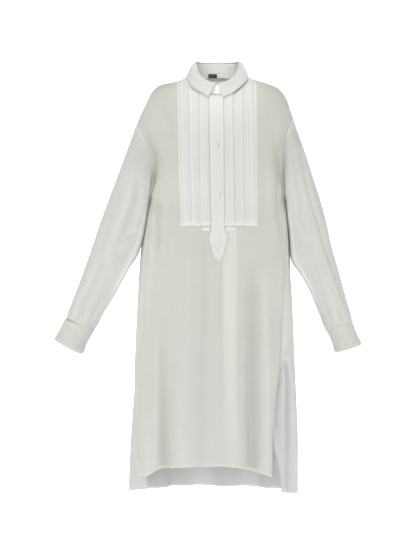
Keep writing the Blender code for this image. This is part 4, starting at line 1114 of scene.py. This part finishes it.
def mesh_from_grid(name, grid, finish, seam, fold, closed=False, flip=False):
    rows, columns = grid.shape[:2]
    faces, corners = [], []
    for r in range(rows - 1):
        for c in range(columns if closed else columns - 1):
            n = c + 1
            around = [(r, c), (r + 1, c), (r + 1, n), (r, n)]
            if flip:
                around.reverse()
            faces.append([row * columns + column % columns for row, column in around])
            corners += around
    mesh = bpy.data.meshes.new(name)
    mesh.from_pydata([tuple(map(float, p)) for p in grid.reshape(-1, 3)], [], faces)
    across, down = map_places(grid, closed)
    layer = mesh.uv_layers.new(name="cloth")
    for loop, (row, column) in zip(layer.data, corners):
        loop.uv = (across[row, column], -down[row, column])
    fold = np.full(grid.shape[:2], 0.5) if fold is None else 0.5 + fold
    for attribute, values in (("seam", seam), ("fold", fold)):
        layer = mesh.attributes.new(attribute, "FLOAT", "POINT")
        layer.data.foreach_set("value", np.clip(values, 0, 1).astype(np.float32).reshape(-1))
    mesh.materials.append(finish)
    mesh.shade_smooth()
    obj = bpy.data.objects.new(name, mesh)
    bpy.context.scene.collection.objects.link(obj)
    return obj


def make_plain(obj):
    """The object's evaluated mesh in place of its modifiers."""
    graph = bpy.context.evaluated_depsgraph_get()
    mesh = bpy.data.meshes.new_from_object(obj.evaluated_get(graph))
    obj.modifiers.clear()
    obj.data = mesh
    return obj


def thin_shell(name, grid, finish, seam, thickness=VOILE_THICK, fold=None, closed=False, flip=False):
    obj = mesh_from_grid(name, grid, finish, seam, fold, closed, flip)
    wall = obj.modifiers.new("Wall", "SOLIDIFY")
    wall.thickness = thickness
    wall.offset = -1.0
    wall.use_even_offset = False
    return make_plain(obj)


def declare(obj, node):
    """The piece rides with the shirt and stands for its solid, which is hidden."""
    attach(obj, "root")
    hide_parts(node)


def painted_fold_shading(lift, strength):
    """How much painted highlight a ridge gets and how much painted shade a trough gets in the cloth's colour,
    levelling off on the deepest folds.
    """
    return SHADE_LIMIT * np.tanh(strength * lift / SHADE_LIMIT)


def edge_band(distance, width, soft=0.0015):
    """One on a band of the given width along an edge, easing to nothing past it."""
    return ease((width + soft - distance) / soft)


def from_sides(grid):
    """How far each place lies from the nearer side edge, along the cloth."""
    across = arc_across(grid)
    return np.minimum(across, across[:, -1:] - across)


def side_level(z):
    """Where the body's sides are full: from the armholes down to the slits, easing in and out."""
    return ease((-0.15 - z) / 0.08) * ease((z + 0.64) / 0.14)


def panel_seams(grid, slit_rows, hem_width, seam_width, first=1.0, last=1.0):
    """Where a panel is doubled: its side seams, slit edges and hem, and its neck and armhole edges."""
    across, down = arc_across(grid), arc_down(grid)
    below = (np.arange(len(grid)) >= slit_rows)[:, None]
    width = np.where(below, hem_width, seam_width)
    dense = first * edge_band(across, width)
    dense = np.maximum(dense, last * edge_band(across[:, -1:] - across, width))
    dense = np.maximum(dense, edge_band(down[-1:] - down, hem_width))
    return np.maximum(dense, edge_band(down, seam_width))


def laid_front():
    """The front panel: the solid's form, refined, with its folds and creases."""
    grid = refine(np.concatenate([upper_front(), lower_front()]), ROW_STEPS, COLUMN_STEPS)
    x, z = grid[..., 0], grid[..., 2]
    broad, fine = fold_lift(FRONT_FOLDS, x, z), crease_lift(FRONT_CREASES, x, z)
    tone = (BROAD_SHADE * broad + fine) * (grid[..., 1] < 0)
    lift = broad + fine
    lift += waver(grid, 9.0, 3.0) * FRONT_WAVER * ease((BIB_HEM - z) / 0.1)
    lift *= ease(from_sides(grid) / SIDE_FADE) * (grid[..., 1] < 0)
    grid = grid + grid_normals(grid) * lift[..., None]
    inside = from_sides(grid)
    full = (SEAM_FORWARD + SIDE_FULL * ease(inside / 0.012)) * np.exp(-inside / 0.045)
    grid[..., 1] -= full * side_level(z)
    return grid, tone


def laid_back():
    """The back panel, with its folds and the gathers that wrap forward below the left slit."""
    grid = refine(np.concatenate([upper_back(), lower_back()]), ROW_STEPS, COLUMN_STEPS)
    x, z = grid[..., 0], grid[..., 2]
    behind = grid[..., 1] > 0
    lift = (fold_lift(BACK_FOLDS, x, z) + crease_lift(BACK_CREASES, x, z)) * behind
    lift += crease_lift(GATHER_CREASES, x, z) * (grid[..., 1] < 0.03)
    lift += waver(grid, 8.0, 11.0) * BACK_WAVER * ease((-0.10 - z) / 0.1)
    lift *= ease(from_sides(grid) / SIDE_FADE)
    grid = grid + grid_normals(grid) * lift[..., None]
    grid[..., 1] -= SEAM_FORWARD * np.exp(-from_sides(grid) / 0.060) * side_level(z)
    return grid, lift


def fine_column(name):
    return line_column(name) * COLUMN_STEPS


def lowered(points):
    """The rows with their top moved down a little, clear of the stand's seam."""
    points = points.copy()
    down = points[ROW_STEPS] - points[0]
    points[0] += down * BIB_TOP_TRIM / np.linalg.norm(down, axis=1, keepdims=True)
    for row in range(1, ROW_STEPS):
        points[row] = mix(points[0], points[ROW_STEPS], row / ROW_STEPS)
    return points


def tucked_bib(grid, normals, lines, drop_high):
    """Half the bib: each tuck rises to its folded edge and drops to the next one's start."""
    step = 1 if fine_column(lines[1]) > fine_column(lines[0]) else -1
    points, lifts, tuck_shading = [], [], []
    for tuck, (start, end) in enumerate(zip(lines, lines[1:])):
        first, final = fine_column(start), fine_column(end)
        count = abs(final - first)
        high = drop_high if tuck < len(lines) - 2 else TUCK_FOOT
        for number in range(count + 1):
            share = number / count
            column = first + step * number
            place = grid[: BIB_LAST_ROW + 1, column]
            out = normals[: BIB_LAST_ROW + 1, column]
            if number == 0 and tuck > 0:
                place = mix(place, grid[: BIB_LAST_ROW + 1, column + step], 0.12)
            edge = 1.0 if number == count else share**1.6
            points.append(place + out * FOLD_DROP)
            lifts.append(out * mix(TUCK_FOOT, high, edge))
            # Painted shade at each tuck's foot beside the drop, and a painted highlight towards its folded edge
            tuck_shading.append(0.35 * ease((share - 0.75) / 0.2) - 0.45 * ease(1 - share / 0.22))
    points, lifts = np.stack(points, axis=1), np.stack(lifts, axis=1)
    sheet = lowered(points) + lifts
    fold = np.broadcast_to(np.array(tuck_shading), sheet.shape[:2])
    return (sheet, fold) if step > 0 else (sheet[:, ::-1], fold[:, ::-1])


def bib_seam(sheet):
    """The bib's doubled hem, and a narrow band along its outer edge."""
    down = arc_down(sheet)
    dense = edge_band(down[-1:] - down, 0.0070)
    return np.maximum(dense, 0.6 * edge_band(from_sides(sheet), 0.0015))


def doubled_and_painted_light_strips(grid):
    """Where the front's loose pleats double the cloth, and a painted highlight along the wearer's right side
    edge: pale strips that fade to the hem.
    """
    x, z = grid[..., 0], grid[..., 2]
    dense = np.zeros_like(x)
    for strip in DOUBLED_AND_PAINTED_LIGHT_STRIPS:
        heights = np.array([z_at for z_at, left, right, share in strip])
        edges = np.array([(left, right, share) for z_at, left, right, share in strip])
        place = [np.interp(-z, -heights, edges[:, column]) for column in range(3)]
        inside = np.minimum(x - place[0], place[1] - x)
        dense = np.maximum(dense, place[2] * ease(0.5 + inside / 0.016) * (grid[..., 1] < 0))
    return dense


def build_body(finishes):
    (front, front_lift), (back, back_lift) = laid_front(), laid_back()
    seam = 0.9 * panel_seams(front, SLIT_ROW, 0.0035, 0.003, last=0.0)
    # Pale where pleats double the cloth, and a painted highlight along the wearer's right side edge
    seam = np.maximum(seam, doubled_and_painted_light_strips(front))
    # Painted shade in the front's fold troughs, painted highlights on its ridges
    fold = painted_fold_shading(front_lift, FOLD_SHADE_STRENGTH)
    piece = thin_shell("front_panel_cloth", front, finishes["voile"], seam, fold=fold)
    declare(piece, "front_panel")
    # Paler above the slits, darker below them: painted shade on the lower back, whose inside shows under the
    # front hem and through the slits
    above_slits = ease((back[..., 2] + 0.80) / 0.12)
    seam = np.maximum(0.4 * panel_seams(back, SLIT_ROW, 0.003, 0.003), above_slits)
    # Painted shade in the back's fold troughs, painted highlights on its ridges
    fold = painted_fold_shading(back_lift, FOLD_SHADE_STRENGTH)
    # Painted highlight on the back panel where it wraps forward beside the wearer's right side, turned from the
    # light
    fold += 0.5 * ease((0.02 - back[..., 1]) / 0.02) * above_slits * (back[..., 0] < 0)
    # Painted shadow along the back panel's edge at the wearer's left slit, behind the front panel's edge
    fold[SLIT_ROW:] -= 0.6 * edge_band(arc_across(back[SLIT_ROW:]), 0.003, 0.004)
    piece = thin_shell("back_panel_cloth", back, finishes["back_voile"], seam, fold=fold)
    declare(piece, "back_panel")
    return front, back


def build_bib(front, normals, finishes):
    right = ("placket_right", "tuck_1_right", "tuck_2_right", "strip_right", "bib_edge_right")
    left = ("placket_left", "tuck_1_left", "tuck_2_left", "strip_left", "bib_edge_left")
    for name, lines, high in (("bib_right", right, TUCK_EDGE_RIGHT), ("bib_left", left, TUCK_EDGE_LEFT)):
        sheet, fold = tucked_bib(front, normals, lines, high)
        piece = thin_shell(name + "_cloth", sheet, finishes["bib"], bib_seam(sheet), fold=fold)
        declare(piece, name)


def rounded_strip(inner, outer):
    """A strip's cross rows: its foot, a rounded shoulder, its face, and the same down the far side."""
    return np.concatenate([inner[:, :1], outer, inner[:, -1:]], axis=1)


def build_placket(front, normals, finishes):
    columns = list(range(fine_column("placket_right"), fine_column("placket_left") + 1))
    place = front[: BIB_LAST_ROW + 1, columns]
    out = normals[: BIB_LAST_ROW + 1, columns]
    across = np.linspace(-1, 1, len(columns))[None, :, None]
    crown = PLACKET_FACE * (1 - 0.10 * across**4)
    upper_inner, upper_outer = lowered(place) + out * LAY_GAP, lowered(place) + out * (LAY_GAP + crown)
    heights = np.linspace(TAB_ROWS[0].z, TAB_ROWS[-1].z, 34)
    rows = [(z, along(TAB_ROWS, "right", z), along(TAB_ROWS, "left", z)) for z in heights]
    shares = np.linspace(0, 1, len(columns))
    inner, outer = lay_rows(front, rows, shares, lambda number, z: TAB_FACE)
    sheet = rounded_strip(np.concatenate([upper_inner, inner]), np.concatenate([upper_outer, outer]))
    dense = 0.7 * edge_band(from_sides(sheet), 0.0045)
    piece = thin_shell("placket_cloth", sheet, finishes["placket"], dense)
    declare(piece, "placket")
    return sheet


def build_pleat_heads(front, finishes):
    for name, right, left in (("pleat_head_right", -0.0420, -0.0195), ("pleat_head_left", 0.0210, 0.0515)):
        rows = [(z, right, left) for z in np.linspace(PLEAT_HEAD_TOP, PLEAT_HEAD_BOTTOM, 5)]
        inner, outer = lay_rows(front, rows, np.linspace(0, 1, 9), lambda number, z: PLEAT_HEAD_FACE)
        sheet = rounded_strip(inner, outer)
        piece = thin_shell(name + "_cloth", sheet, finishes["bib"], np.full(sheet.shape[:2], 0.8))
        declare(piece, name)


def sleeve_turns(count):
    return 2 * math.pi * np.arange(count) / count


def laid_sleeve(side):
    grid = refine(sleeve_grid(side), SLEEVE_ROW_STEPS, SLEEVE_COLUMN_STEPS, closed=True)
    normals = grid_normals(grid, closed=True) * -side
    x, z = grid[..., 0], grid[..., 2]
    facing = normals[..., 1]
    creases = SLEEVE_LEFT_CREASES if side > 0 else SLEEVE_RIGHT_CREASES
    lift = crease_lift(creases, x, z) * ease((0.1 - facing) / 0.4)
    behind = [crease._replace(line=[(px * 1.02, pz - 0.03) for px, pz in crease.line]) for crease in creases]
    lift += crease_lift(behind, x, z) * ease((facing + 0.1) / 0.4)
    down = arc_down(np.concatenate([grid, grid[:, :1]], axis=1))[:, :-1]
    to_cuff = down[-1:] - down
    turns = sleeve_turns(grid.shape[1])[None, :]
    for pleat in CUFF_PLEATS:
        fade = ease(1 - to_cuff / pleat.reach) * ease((to_cuff - PLEAT_SEAM_GAP) / PLEAT_SEAM_EASE)
        lift += pleat.rise * np.exp(-(((turns - pleat.turn) / pleat.width) ** 2)) * fade
    lift += waver(grid, 14.0, 5.0 + side) * SLEEVE_WAVER
    beside_body = ease((0.20 - down) / 0.06)
    lift += 0.0040 * np.exp(-(((turns - math.pi) / 0.45) ** 2)) * beside_body
    lift += 0.0024 * ease((0.034 - to_cuff) / 0.020)
    height = np.sin(turns).clip(0)
    fuller = (height**0.36 - height) * (turns > math.pi / 2)
    lift *= ease(down / 0.03)
    grid = grid + normals * lift[..., None]
    hang = CUFF_HANG * (1.5 - np.cos(turns)) * ease(1 - to_cuff / HANG_REACH)
    heading = grid[-1] - grid[-2 * SLEEVE_ROW_STEPS]
    grid += hang[..., None] * (heading / np.linalg.norm(heading, axis=1, keepdims=True))[None]
    reach = 0.5 + 0.5 * ease((0.34 - down) / 0.16)
    grid[..., 1] -= UNDERARM_FULL * fuller * reach * ease(down / 0.02) * ease(to_cuff / 0.05)
    underarm = np.exp(-(((turns - math.pi) / 0.7) ** 2)) * ease(down / 0.05) * ease((0.36 - down) / 0.16)
    grid[..., 1] -= SLEEVE_FORWARD * SEAM_FORWARD * underarm
    return grid, lift, down, turns


def build_sleeves(finishes):
    for side, word in ((-1, "right"), (1, "left")):
        grid, lift, down, turns = laid_sleeve(side)
        dense = edge_band(down, 0.006)
        under = ease((0.50 - np.abs(turns - math.pi + 0.20)) / 0.16)
        dense = np.maximum(dense, 0.6 * under)
        name = "sleeve_" + word
        # Painted shade in crease troughs and painted highlights on ridges, and a painted highlight along the
        # underarm side beside the body, where the sleeve turns from the light
        fold = painted_fold_shading(lift, SLEEVE_SHADE_STRENGTH) + 0.3 * under * ease((0.32 - down) / 0.1)
        cloth = finishes["sleeve_voile"]
        piece = thin_shell(name + "_cloth", grid, cloth, dense, fold=fold, closed=True, flip=side > 0)
        declare(piece, name)


def build_cuffs(finishes):
    for side, word, cuff in ((-1, "right", CUFF_RIGHT), (1, "left", CUFF_LEFT)):
        grid = refine(cuff_grid(side, cuff, sleeve_rows(side)[-1]), 5, 6, closed=True)
        down = arc_down(grid)
        flare = ease((down - 0.6 * down[-1:]) / (0.4 * down[-1:]))
        turns = sleeve_turns(grid.shape[1])[None, :]
        out = grid_normals(grid, closed=True) * side
        lift = flare * (0.0006 * np.sin(3 * turns + side) - 0.0022)
        lift += 0.0004 * flare * np.exp(-(((turns - 1.1) / 0.35) ** 2))
        grid = grid + out * lift[..., None]
        dense = edge_band(down[-1:] - down, 0.004)
        foot = np.abs(down - 0.5 * down[-1:])
        dense = np.maximum(dense, 0.5 * edge_band(foot, 0.003))
        opening = 0.7 * np.exp(-(((turns - 2.75) / 0.20) ** 2)) * flare.clip(0.4)
        dense = np.maximum(dense, opening)
        name, cloth = "cuff_" + word, finishes["cuff"]
        piece = thin_shell(name + "_cloth", grid, cloth, dense, DOUBLE_THICK, closed=True, flip=side < 0)
        declare(piece, name)


def build_collar(finishes):
    stand = refine(stand_grid(), 5, 5)
    seam = edge_band(arc_down(stand)[-1:] - arc_down(stand), 0.0015)
    piece = thin_shell("collar_stand_cloth", stand, finishes["stand"], 0.6 * seam, STAND_THICK)
    declare(piece, "collar_stand")
    fall = refine(fall_grid(), 5, 5)
    down = arc_down(fall)
    edge = np.minimum(from_sides(fall), down[-1:] - down)
    piece = thin_shell("collar_fall_cloth", fall, finishes["collar"], 0.5 * edge_band(edge, 0.0020), LEAF_THICK)
    declare(piece, "collar_fall")
    return stand, fall


def finished_object(name, shape, finish):
    """A smooth object of the shape, with its finish, in the scene."""
    bmesh.ops.recalc_face_normals(shape, faces=shape.faces)
    mesh = bpy.data.meshes.new(name)
    shape.to_mesh(mesh)
    shape.free()
    mesh.materials.append(finish)
    mesh.shade_smooth()
    obj = bpy.data.objects.new(name, mesh)
    bpy.context.scene.collection.objects.link(obj)
    return obj


def turned_button(name, finish):
    """A turned shell button with a rim and a dished middle."""
    shape = bmesh.new()
    rings = []
    turns = [2 * math.pi * step / BUTTON_STEPS for step in range(BUTTON_STEPS)]
    for radius, height in BUTTON_PROFILE:
        places = [(radius * math.cos(t), radius * math.sin(t), height) for t in turns[: None if radius else 1]]
        rings.append([shape.verts.new(place) for place in places])
    for upper, lower in zip(rings, rings[1:]):
        for step in range(BUTTON_STEPS):
            there = (step + 1) % BUTTON_STEPS
            around = ((upper, step), (lower, step), (lower, there), (upper, there))
            corners = [ring[place % len(ring)] for ring, place in around]
            shape.faces.new(list(dict.fromkeys(corners)))
    return finished_object(name, shape, finish)


def build_button(name, node, finishes):
    """A button in its solid's place, facing the way the solid does."""
    low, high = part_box(node)
    centre = (np.array(low) + np.array(high)) / 2
    tilt = math.pi / 2 + math.radians(BUTTON_TILTS[node])
    place = Matrix.Translation(Vector(centre)) @ Matrix.Rotation(tilt, 4, "X")
    button = turned_button(name, finishes["button"])
    thread = cross_thread(name + "_thread", finishes["thread"])
    for obj, slot in ((button, "button"), (thread, "collar_cloth")):
        obj.data.transform(place)
        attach(obj, "root")
    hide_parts(node)


def cross_thread(name, finish):
    """Two crossed stitches over a button's face."""
    shape = bmesh.new()
    for turn in (math.pi / 4, -math.pi / 4):
        heading = Vector((math.cos(turn), math.sin(turn), 0))
        aside = Vector((-math.sin(turn), math.cos(turn), 0))
        for offset in (-CROSS_OFFSET, CROSS_OFFSET):
            rows = []
            for step in range(CROSS_STEPS + 1):
                share = step / CROSS_STEPS - 0.5
                lift = CROSS_HEIGHT + CROSS_BOW * math.cos(math.pi * share)
                centre = heading * share * CROSS_LENGTH + aside * offset + Vector((0, 0, lift))
                ring = []
                for side in range(6):
                    a = math.pi * side / 3
                    out = aside * math.cos(a) + Vector((0, 0, math.sin(a)))
                    ring.append(shape.verts.new(centre + out * CROSS_RADIUS))
                rows.append(ring)
            for here, there in zip(rows, rows[1:]):
                for side in range(6):
                    n = (side + 1) % 6
                    shape.faces.new((here[side], there[side], there[n], here[n]))
            shape.faces.new(rows[0])
            shape.faces.new(rows[-1][::-1])
    return finished_object(name, shape, finish)


def build_labels(finishes):
    for name, x_from, x_to, finish in TAPES:
        rows = []
        for z in np.linspace(LABEL_HIGH, LABEL_LOW, 7):
            row = []
            for x in np.linspace(x_from, x_to, 17):
                angle = math.pi - math.asin(x / NECK_HALF)
                low, high = neck_point(angle), stand_point(angle)
                share = (z - low[2]) / (high[2] - low[2])
                out = np.array([math.sin(angle), -math.cos(angle), 0.0])
                row.append(mix(low, high, share) - out * (STAND_CLOTH + LAY_GAP))
            rows.append(row)
        grid = np.array(rows)
        down = arc_down(grid)
        seam = 0.6 * edge_band(np.minimum(from_sides(grid), np.minimum(down, down[-1:] - down)), 0.0008)
        piece = thin_shell(name + "_cloth", grid, finishes[finish], seam, TAPE_THICK, flip=True)
        declare(piece, name)


# Stitches: short rounded threads set along lines that lie on the cloth
def stitch_tree():
    """Geometry Nodes: a line of points becomes a row of stitches of one length, gap and thickness."""
    tree = bpy.data.node_groups.new("stitch_rows", "GeometryNodeTree")
    face = tree.interface
    face.new_socket("Geometry", in_out="INPUT", socket_type="NodeSocketGeometry")
    usual = {"Stitch length": STITCH_LENGTH, "Pitch": STITCH_PITCH, "Thread radius": THREAD_RADIUS}
    for name, value in usual.items():
        face.new_socket(name, in_out="INPUT", socket_type="NodeSocketFloat").default_value = value
    face.new_socket("Thread", in_out="INPUT", socket_type="NodeSocketMaterial")
    face.new_socket("Geometry", in_out="OUTPUT", socket_type="NodeSocketGeometry")

    def add(kind, links=None, **settings):
        made = tree.nodes.new(kind)
        for key, value in settings.items():
            setattr(made, key, value)
        for name, value in (links or {}).items():
            if isinstance(value, bpy.types.NodeSocket):
                tree.links.new(value, made.inputs[name])
            else:
                made.inputs[name].default_value = value
        return made

    given = add("NodeGroupInput")
    curve = add("GeometryNodeMeshToCurve", {"Mesh": given.outputs["Geometry"]})
    spaced = {"Curve": curve.outputs[0], "Length": given.outputs["Pitch"]}
    places = add("GeometryNodeCurveToPoints", spaced, mode="LENGTH")
    line = add("GeometryNodeMeshCone", {
        "Vertices": 6, "Side Segments": 1, "Radius Top": given.outputs["Thread radius"],
        "Radius Bottom": given.outputs["Thread radius"], "Depth": given.outputs["Stitch length"],
    })
    middle = add("ShaderNodeMath", {0: given.outputs["Stitch length"], 1: -0.5}, operation="MULTIPLY")
    back = add("ShaderNodeCombineXYZ", {"Z": middle.outputs[0]})
    centred = add("GeometryNodeTransform", {"Geometry": line.outputs["Mesh"], "Translation": back.outputs[0]})
    heading = add("FunctionNodeAlignRotationToVector", {"Vector": places.outputs["Tangent"]}, axis="Z")
    rows = add("GeometryNodeInstanceOnPoints", {
        "Points": places.outputs["Points"], "Instance": centred.outputs[0], "Rotation": heading.outputs[0],
    })
    real = add("GeometryNodeRealizeInstances", {"Geometry": rows.outputs[0]})
    dressed = add("GeometryNodeSetMaterial", {"Geometry": real.outputs[0], "Material": given.outputs["Thread"]})
    result = add("NodeGroupOutput")
    tree.links.new(dressed.outputs[0], result.inputs[0])
    return tree


def sew(name, lines, finish, radius=THREAD_RADIUS, length=STITCH_LENGTH, pitch=STITCH_PITCH):
    """Rows of stitches along lines of points, as one mesh that rides with the shirt."""
    points, edges = [], []
    for line in lines:
        start = len(points)
        points += [tuple(map(float, p)) for p in line]
        edges += [(start + i, start + i + 1) for i in range(len(line) - 1)]
    mesh = bpy.data.meshes.new(name)
    mesh.from_pydata(points, edges, [])
    obj = bpy.data.objects.new(name, mesh)
    bpy.context.scene.collection.objects.link(obj)
    rows = obj.modifiers.new("Stitches", "NODES")
    rows.node_group = STITCHES
    sockets = {item.name: item.identifier for item in STITCHES.interface.items_tree if item.in_out == "INPUT"}
    rows[sockets["Stitch length"]] = length
    rows[sockets["Pitch"]] = pitch
    rows[sockets["Thread radius"]] = radius
    rows[sockets["Thread"]] = finish
    make_plain(obj)
    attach(obj, "root")


def inset_line(grid, inset, side, first=0, last=None):
    """A line down a grid, a set way in from its first or last column, just proud of its face."""
    across = arc_across(grid)
    normals = grid_normals(grid)
    line = []
    for row in range(first, last or len(grid)):
        reach = across[row, -1] - inset if side > 0 else inset
        point = np.array([np.interp(reach, across[row], grid[row, :, axis]) for axis in range(3)])
        column = int(np.clip(np.searchsorted(across[row], reach), 0, grid.shape[1] - 1))
        line.append(point + normals[row, column] * SEAM_PROUD)
    return line


def inset_row(grid, inset):
    """A line across a grid, a set way up from its last row, just proud of its face."""
    down = arc_down(grid)
    normals = grid_normals(grid)
    line = []
    for column in range(grid.shape[1]):
        reach = down[-1, column] - inset
        point = np.array([np.interp(reach, down[:, column], grid[:, column, axis]) for axis in range(3)])
        row = int(np.clip(np.searchsorted(down[:, column], reach), 0, len(grid) - 1))
        line.append(point + normals[row, column] * SEAM_PROUD)
    return line


def finish_set():
    """Every finish of the shirt, by the maker's name for it."""
    finishes = {key: cloth_finish(cloth) for key, cloth in CLOTHS.items()}
    shell = Finish("shell_button")
    body = shell.node("ShaderNodeTexCoord", output=3)
    bands = shell.node("ShaderNodeTexNoise", {"Vector": body, "Scale": 420.0, "Detail": 3.0, "Distortion": 1.2})
    shell.set(Base_Color=shell.mix(bands, (0.74, 0.72, 0.68, 1.0), (0.93, 0.92, 0.90, 1.0)))
    shell.set(Roughness=bands * 0.2 + 0.18, Coat_Weight=0.3, Coat_Roughness=0.1)
    finishes["button"] = shell.material
    thread = Finish("thread")
    body = thread.node("ShaderNodeTexCoord", output=3)
    twist = thread.node("ShaderNodeTexWave", {"Vector": body, "Scale": 900.0, "Distortion": 1.0})
    thread.set(Base_Color=thread.mix(twist, (0.70, 0.70, 0.66, 1.0), (0.78, 0.78, 0.74, 1.0)), Roughness=0.6)
    finishes["thread"] = thread.material
    return finishes


def build_buttonholes(placket, finishes):
    """Vertical buttonholes in the placket and its tab: two rows of close stitches, and between them a line of
    painted shadow for the open slit, short of its ends.
    """
    stitches, slits = [], []
    for x, top, bottom in BUTTONHOLES:
        for offset in (-BUTTONHOLE_HALF, BUTTONHOLE_HALF):
            for z in np.arange(bottom, top, BUTTONHOLE_PITCH):
                face = strip_face(placket, x, z)
                ends = (offset - BUTTONHOLE_STITCH_HALF, offset + BUTTONHOLE_STITCH_HALF)
                stitches.append([face + np.array([across, 0, 0]) for across in ends])
        heights = np.linspace(bottom + BUTTONHOLE_BAR, top - BUTTONHOLE_BAR, 8)
        slits.append([strip_face(placket, x, z) for z in heights])
    # The slits take the dark tape's finish: painted shadow in each open slit
    thread, dark = finishes["thread"], finishes["label"]
    sew("buttonhole_stitches", stitches, thread, radius=0.00026, length=0.0013, pitch=0.0014)
    sew("buttonhole_slit_shadows", slits, dark, radius=0.00030, length=0.0020, pitch=0.0018)


def strip_face(sheet, x, z):
    """The strip's outer face at a place across and a height."""
    face = sheet[:, 1:-1].reshape(-1, 3)
    nearest = np.argsort((face[:, 0] - x) ** 2 + (face[:, 2] - z) ** 2)[:4]
    return np.array([x, face[nearest, 1].min() - SLIT_PROUD, z])


def build_stitches(front, back, placket, stand, fall, finishes):
    body, thread = [], finishes["thread"]
    for grid in (front, back):
        body.append(inset_row(grid, HEM_INSET))
        body += [inset_line(grid, HEM_INSET, side, SLIT_ROW, len(grid) - 4) for side in (-1, 1)]
    sew("hem_stitches", body, thread, radius=0.00022)
    face = placket[:, 1:-1]
    sew("placket_stitches", [inset_line(face, PLACKET_INSET, side) for side in (-1, 1)], thread)
    collar = [inset_row(fall, LEAF_FOOT_INSET)]
    collar += [inset_line(fall, LEAF_END_INSET, side, 8) for side in (-1, 1)]
    collar.append(inset_row(stand, STAND_INSET))
    sew("collar_stitches", collar, thread)


def set_light(light):
    data = bpy.data.lights.new(light.name, "AREA")
    data.shape, data.size, data.energy, data.color = "DISK", light.size, light.watts, light.colour
    data.spread = math.radians(light.spread)
    obj = bpy.data.objects.new(light.name, data)
    obj.location = light.place
    obj.rotation_mode = "QUATERNION"
    obj.rotation_quaternion = (Vector(light.aim) - Vector(light.place)).to_track_quat("-Z", "Y")
    bpy.context.scene.collection.objects.link(obj)


def build_studio():
    """White paper under and far behind the shirt, soft light from the front and both sides, and the camera."""
    sweep = bpy.data.meshes.new("studio_sweep")
    turns = np.linspace(0.1, math.pi / 2, 16)
    profile = [(SWEEP_FRONT, 0.0), (SWEEP_START, 0.0)]
    profile += [(SWEEP_START + SWEEP_RADIUS * math.sin(t), SWEEP_RADIUS * (1 - math.cos(t))) for t in turns]
    profile.append((SWEEP_START + SWEEP_RADIUS, SWEEP_TOP))
    points = [(x, y, FLOOR + z) for y, z in profile for x in (-SWEEP_HALF, SWEEP_HALF)]
    faces = [(2 * i, 2 * i + 1, 2 * i + 3, 2 * i + 2) for i in range(len(profile) - 1)]
    sweep.from_pydata(points, [], faces)
    sweep.shade_smooth()
    paper = Finish("studio_paper")
    body = paper.node("ShaderNodeTexCoord", output=3)
    grain = paper.node("ShaderNodeTexNoise", {"Vector": body, "Scale": 60.0, "Detail": 2.0})
    paper.set(Base_Color=paper.mix(grain, (0.88, 0.88, 0.88, 1.0), (0.90, 0.90, 0.90, 1.0)), Roughness=0.9)
    paper.set(Emission_Color=WHITE + (1.0,), Emission_Strength=PAPER_GLOW)
    sweep.materials.append(paper.material)
    backdrop = bpy.data.objects.new("studio_sweep", sweep)
    bpy.context.scene.collection.objects.link(backdrop)

    world = bpy.data.worlds.new("studio")
    world.use_nodes = True
    room = world.node_tree.nodes["Background"].inputs
    room["Color"].default_value, room["Strength"].default_value = WHITE + (1.0,), ROOM_LIGHT
    bpy.context.scene.world = world
    for light in LIGHTS:
        set_light(light)
    bpy.context.scene.view_settings.view_transform = "Standard"

    data = bpy.data.cameras.new("camera")
    data.sensor_width = SENSOR
    data.lens = SENSOR * -CAMERA_Y / FRAME_HEIGHT
    camera = bpy.data.objects.new("camera", data)
    camera.location = (CAMERA_X, CAMERA_Y, CAMERA_Z)
    camera.rotation_euler = (math.pi / 2, 0, 0)
    bpy.context.scene.collection.objects.link(camera)
    bpy.context.scene.camera = camera


def build_looks():
    finishes = finish_set()
    front, back = build_body(finishes)
    normals = grid_normals(front)
    build_bib(front, normals, finishes)
    placket = build_placket(front, normals, finishes)
    build_pleat_heads(front, finishes)
    build_sleeves(finishes)
    build_cuffs(finishes)
    stand, fall = build_collar(finishes)
    build_button("collar_button_shell", "collar_button", finishes)
    build_button("stand_button_shell", "stand_button", finishes)
    build_labels(finishes)
    build_stitches(front, back, placket, stand, fall, finishes)
    build_buttonholes(placket, finishes)
    build_studio()


STITCHES = stitch_tree()
build_looks()
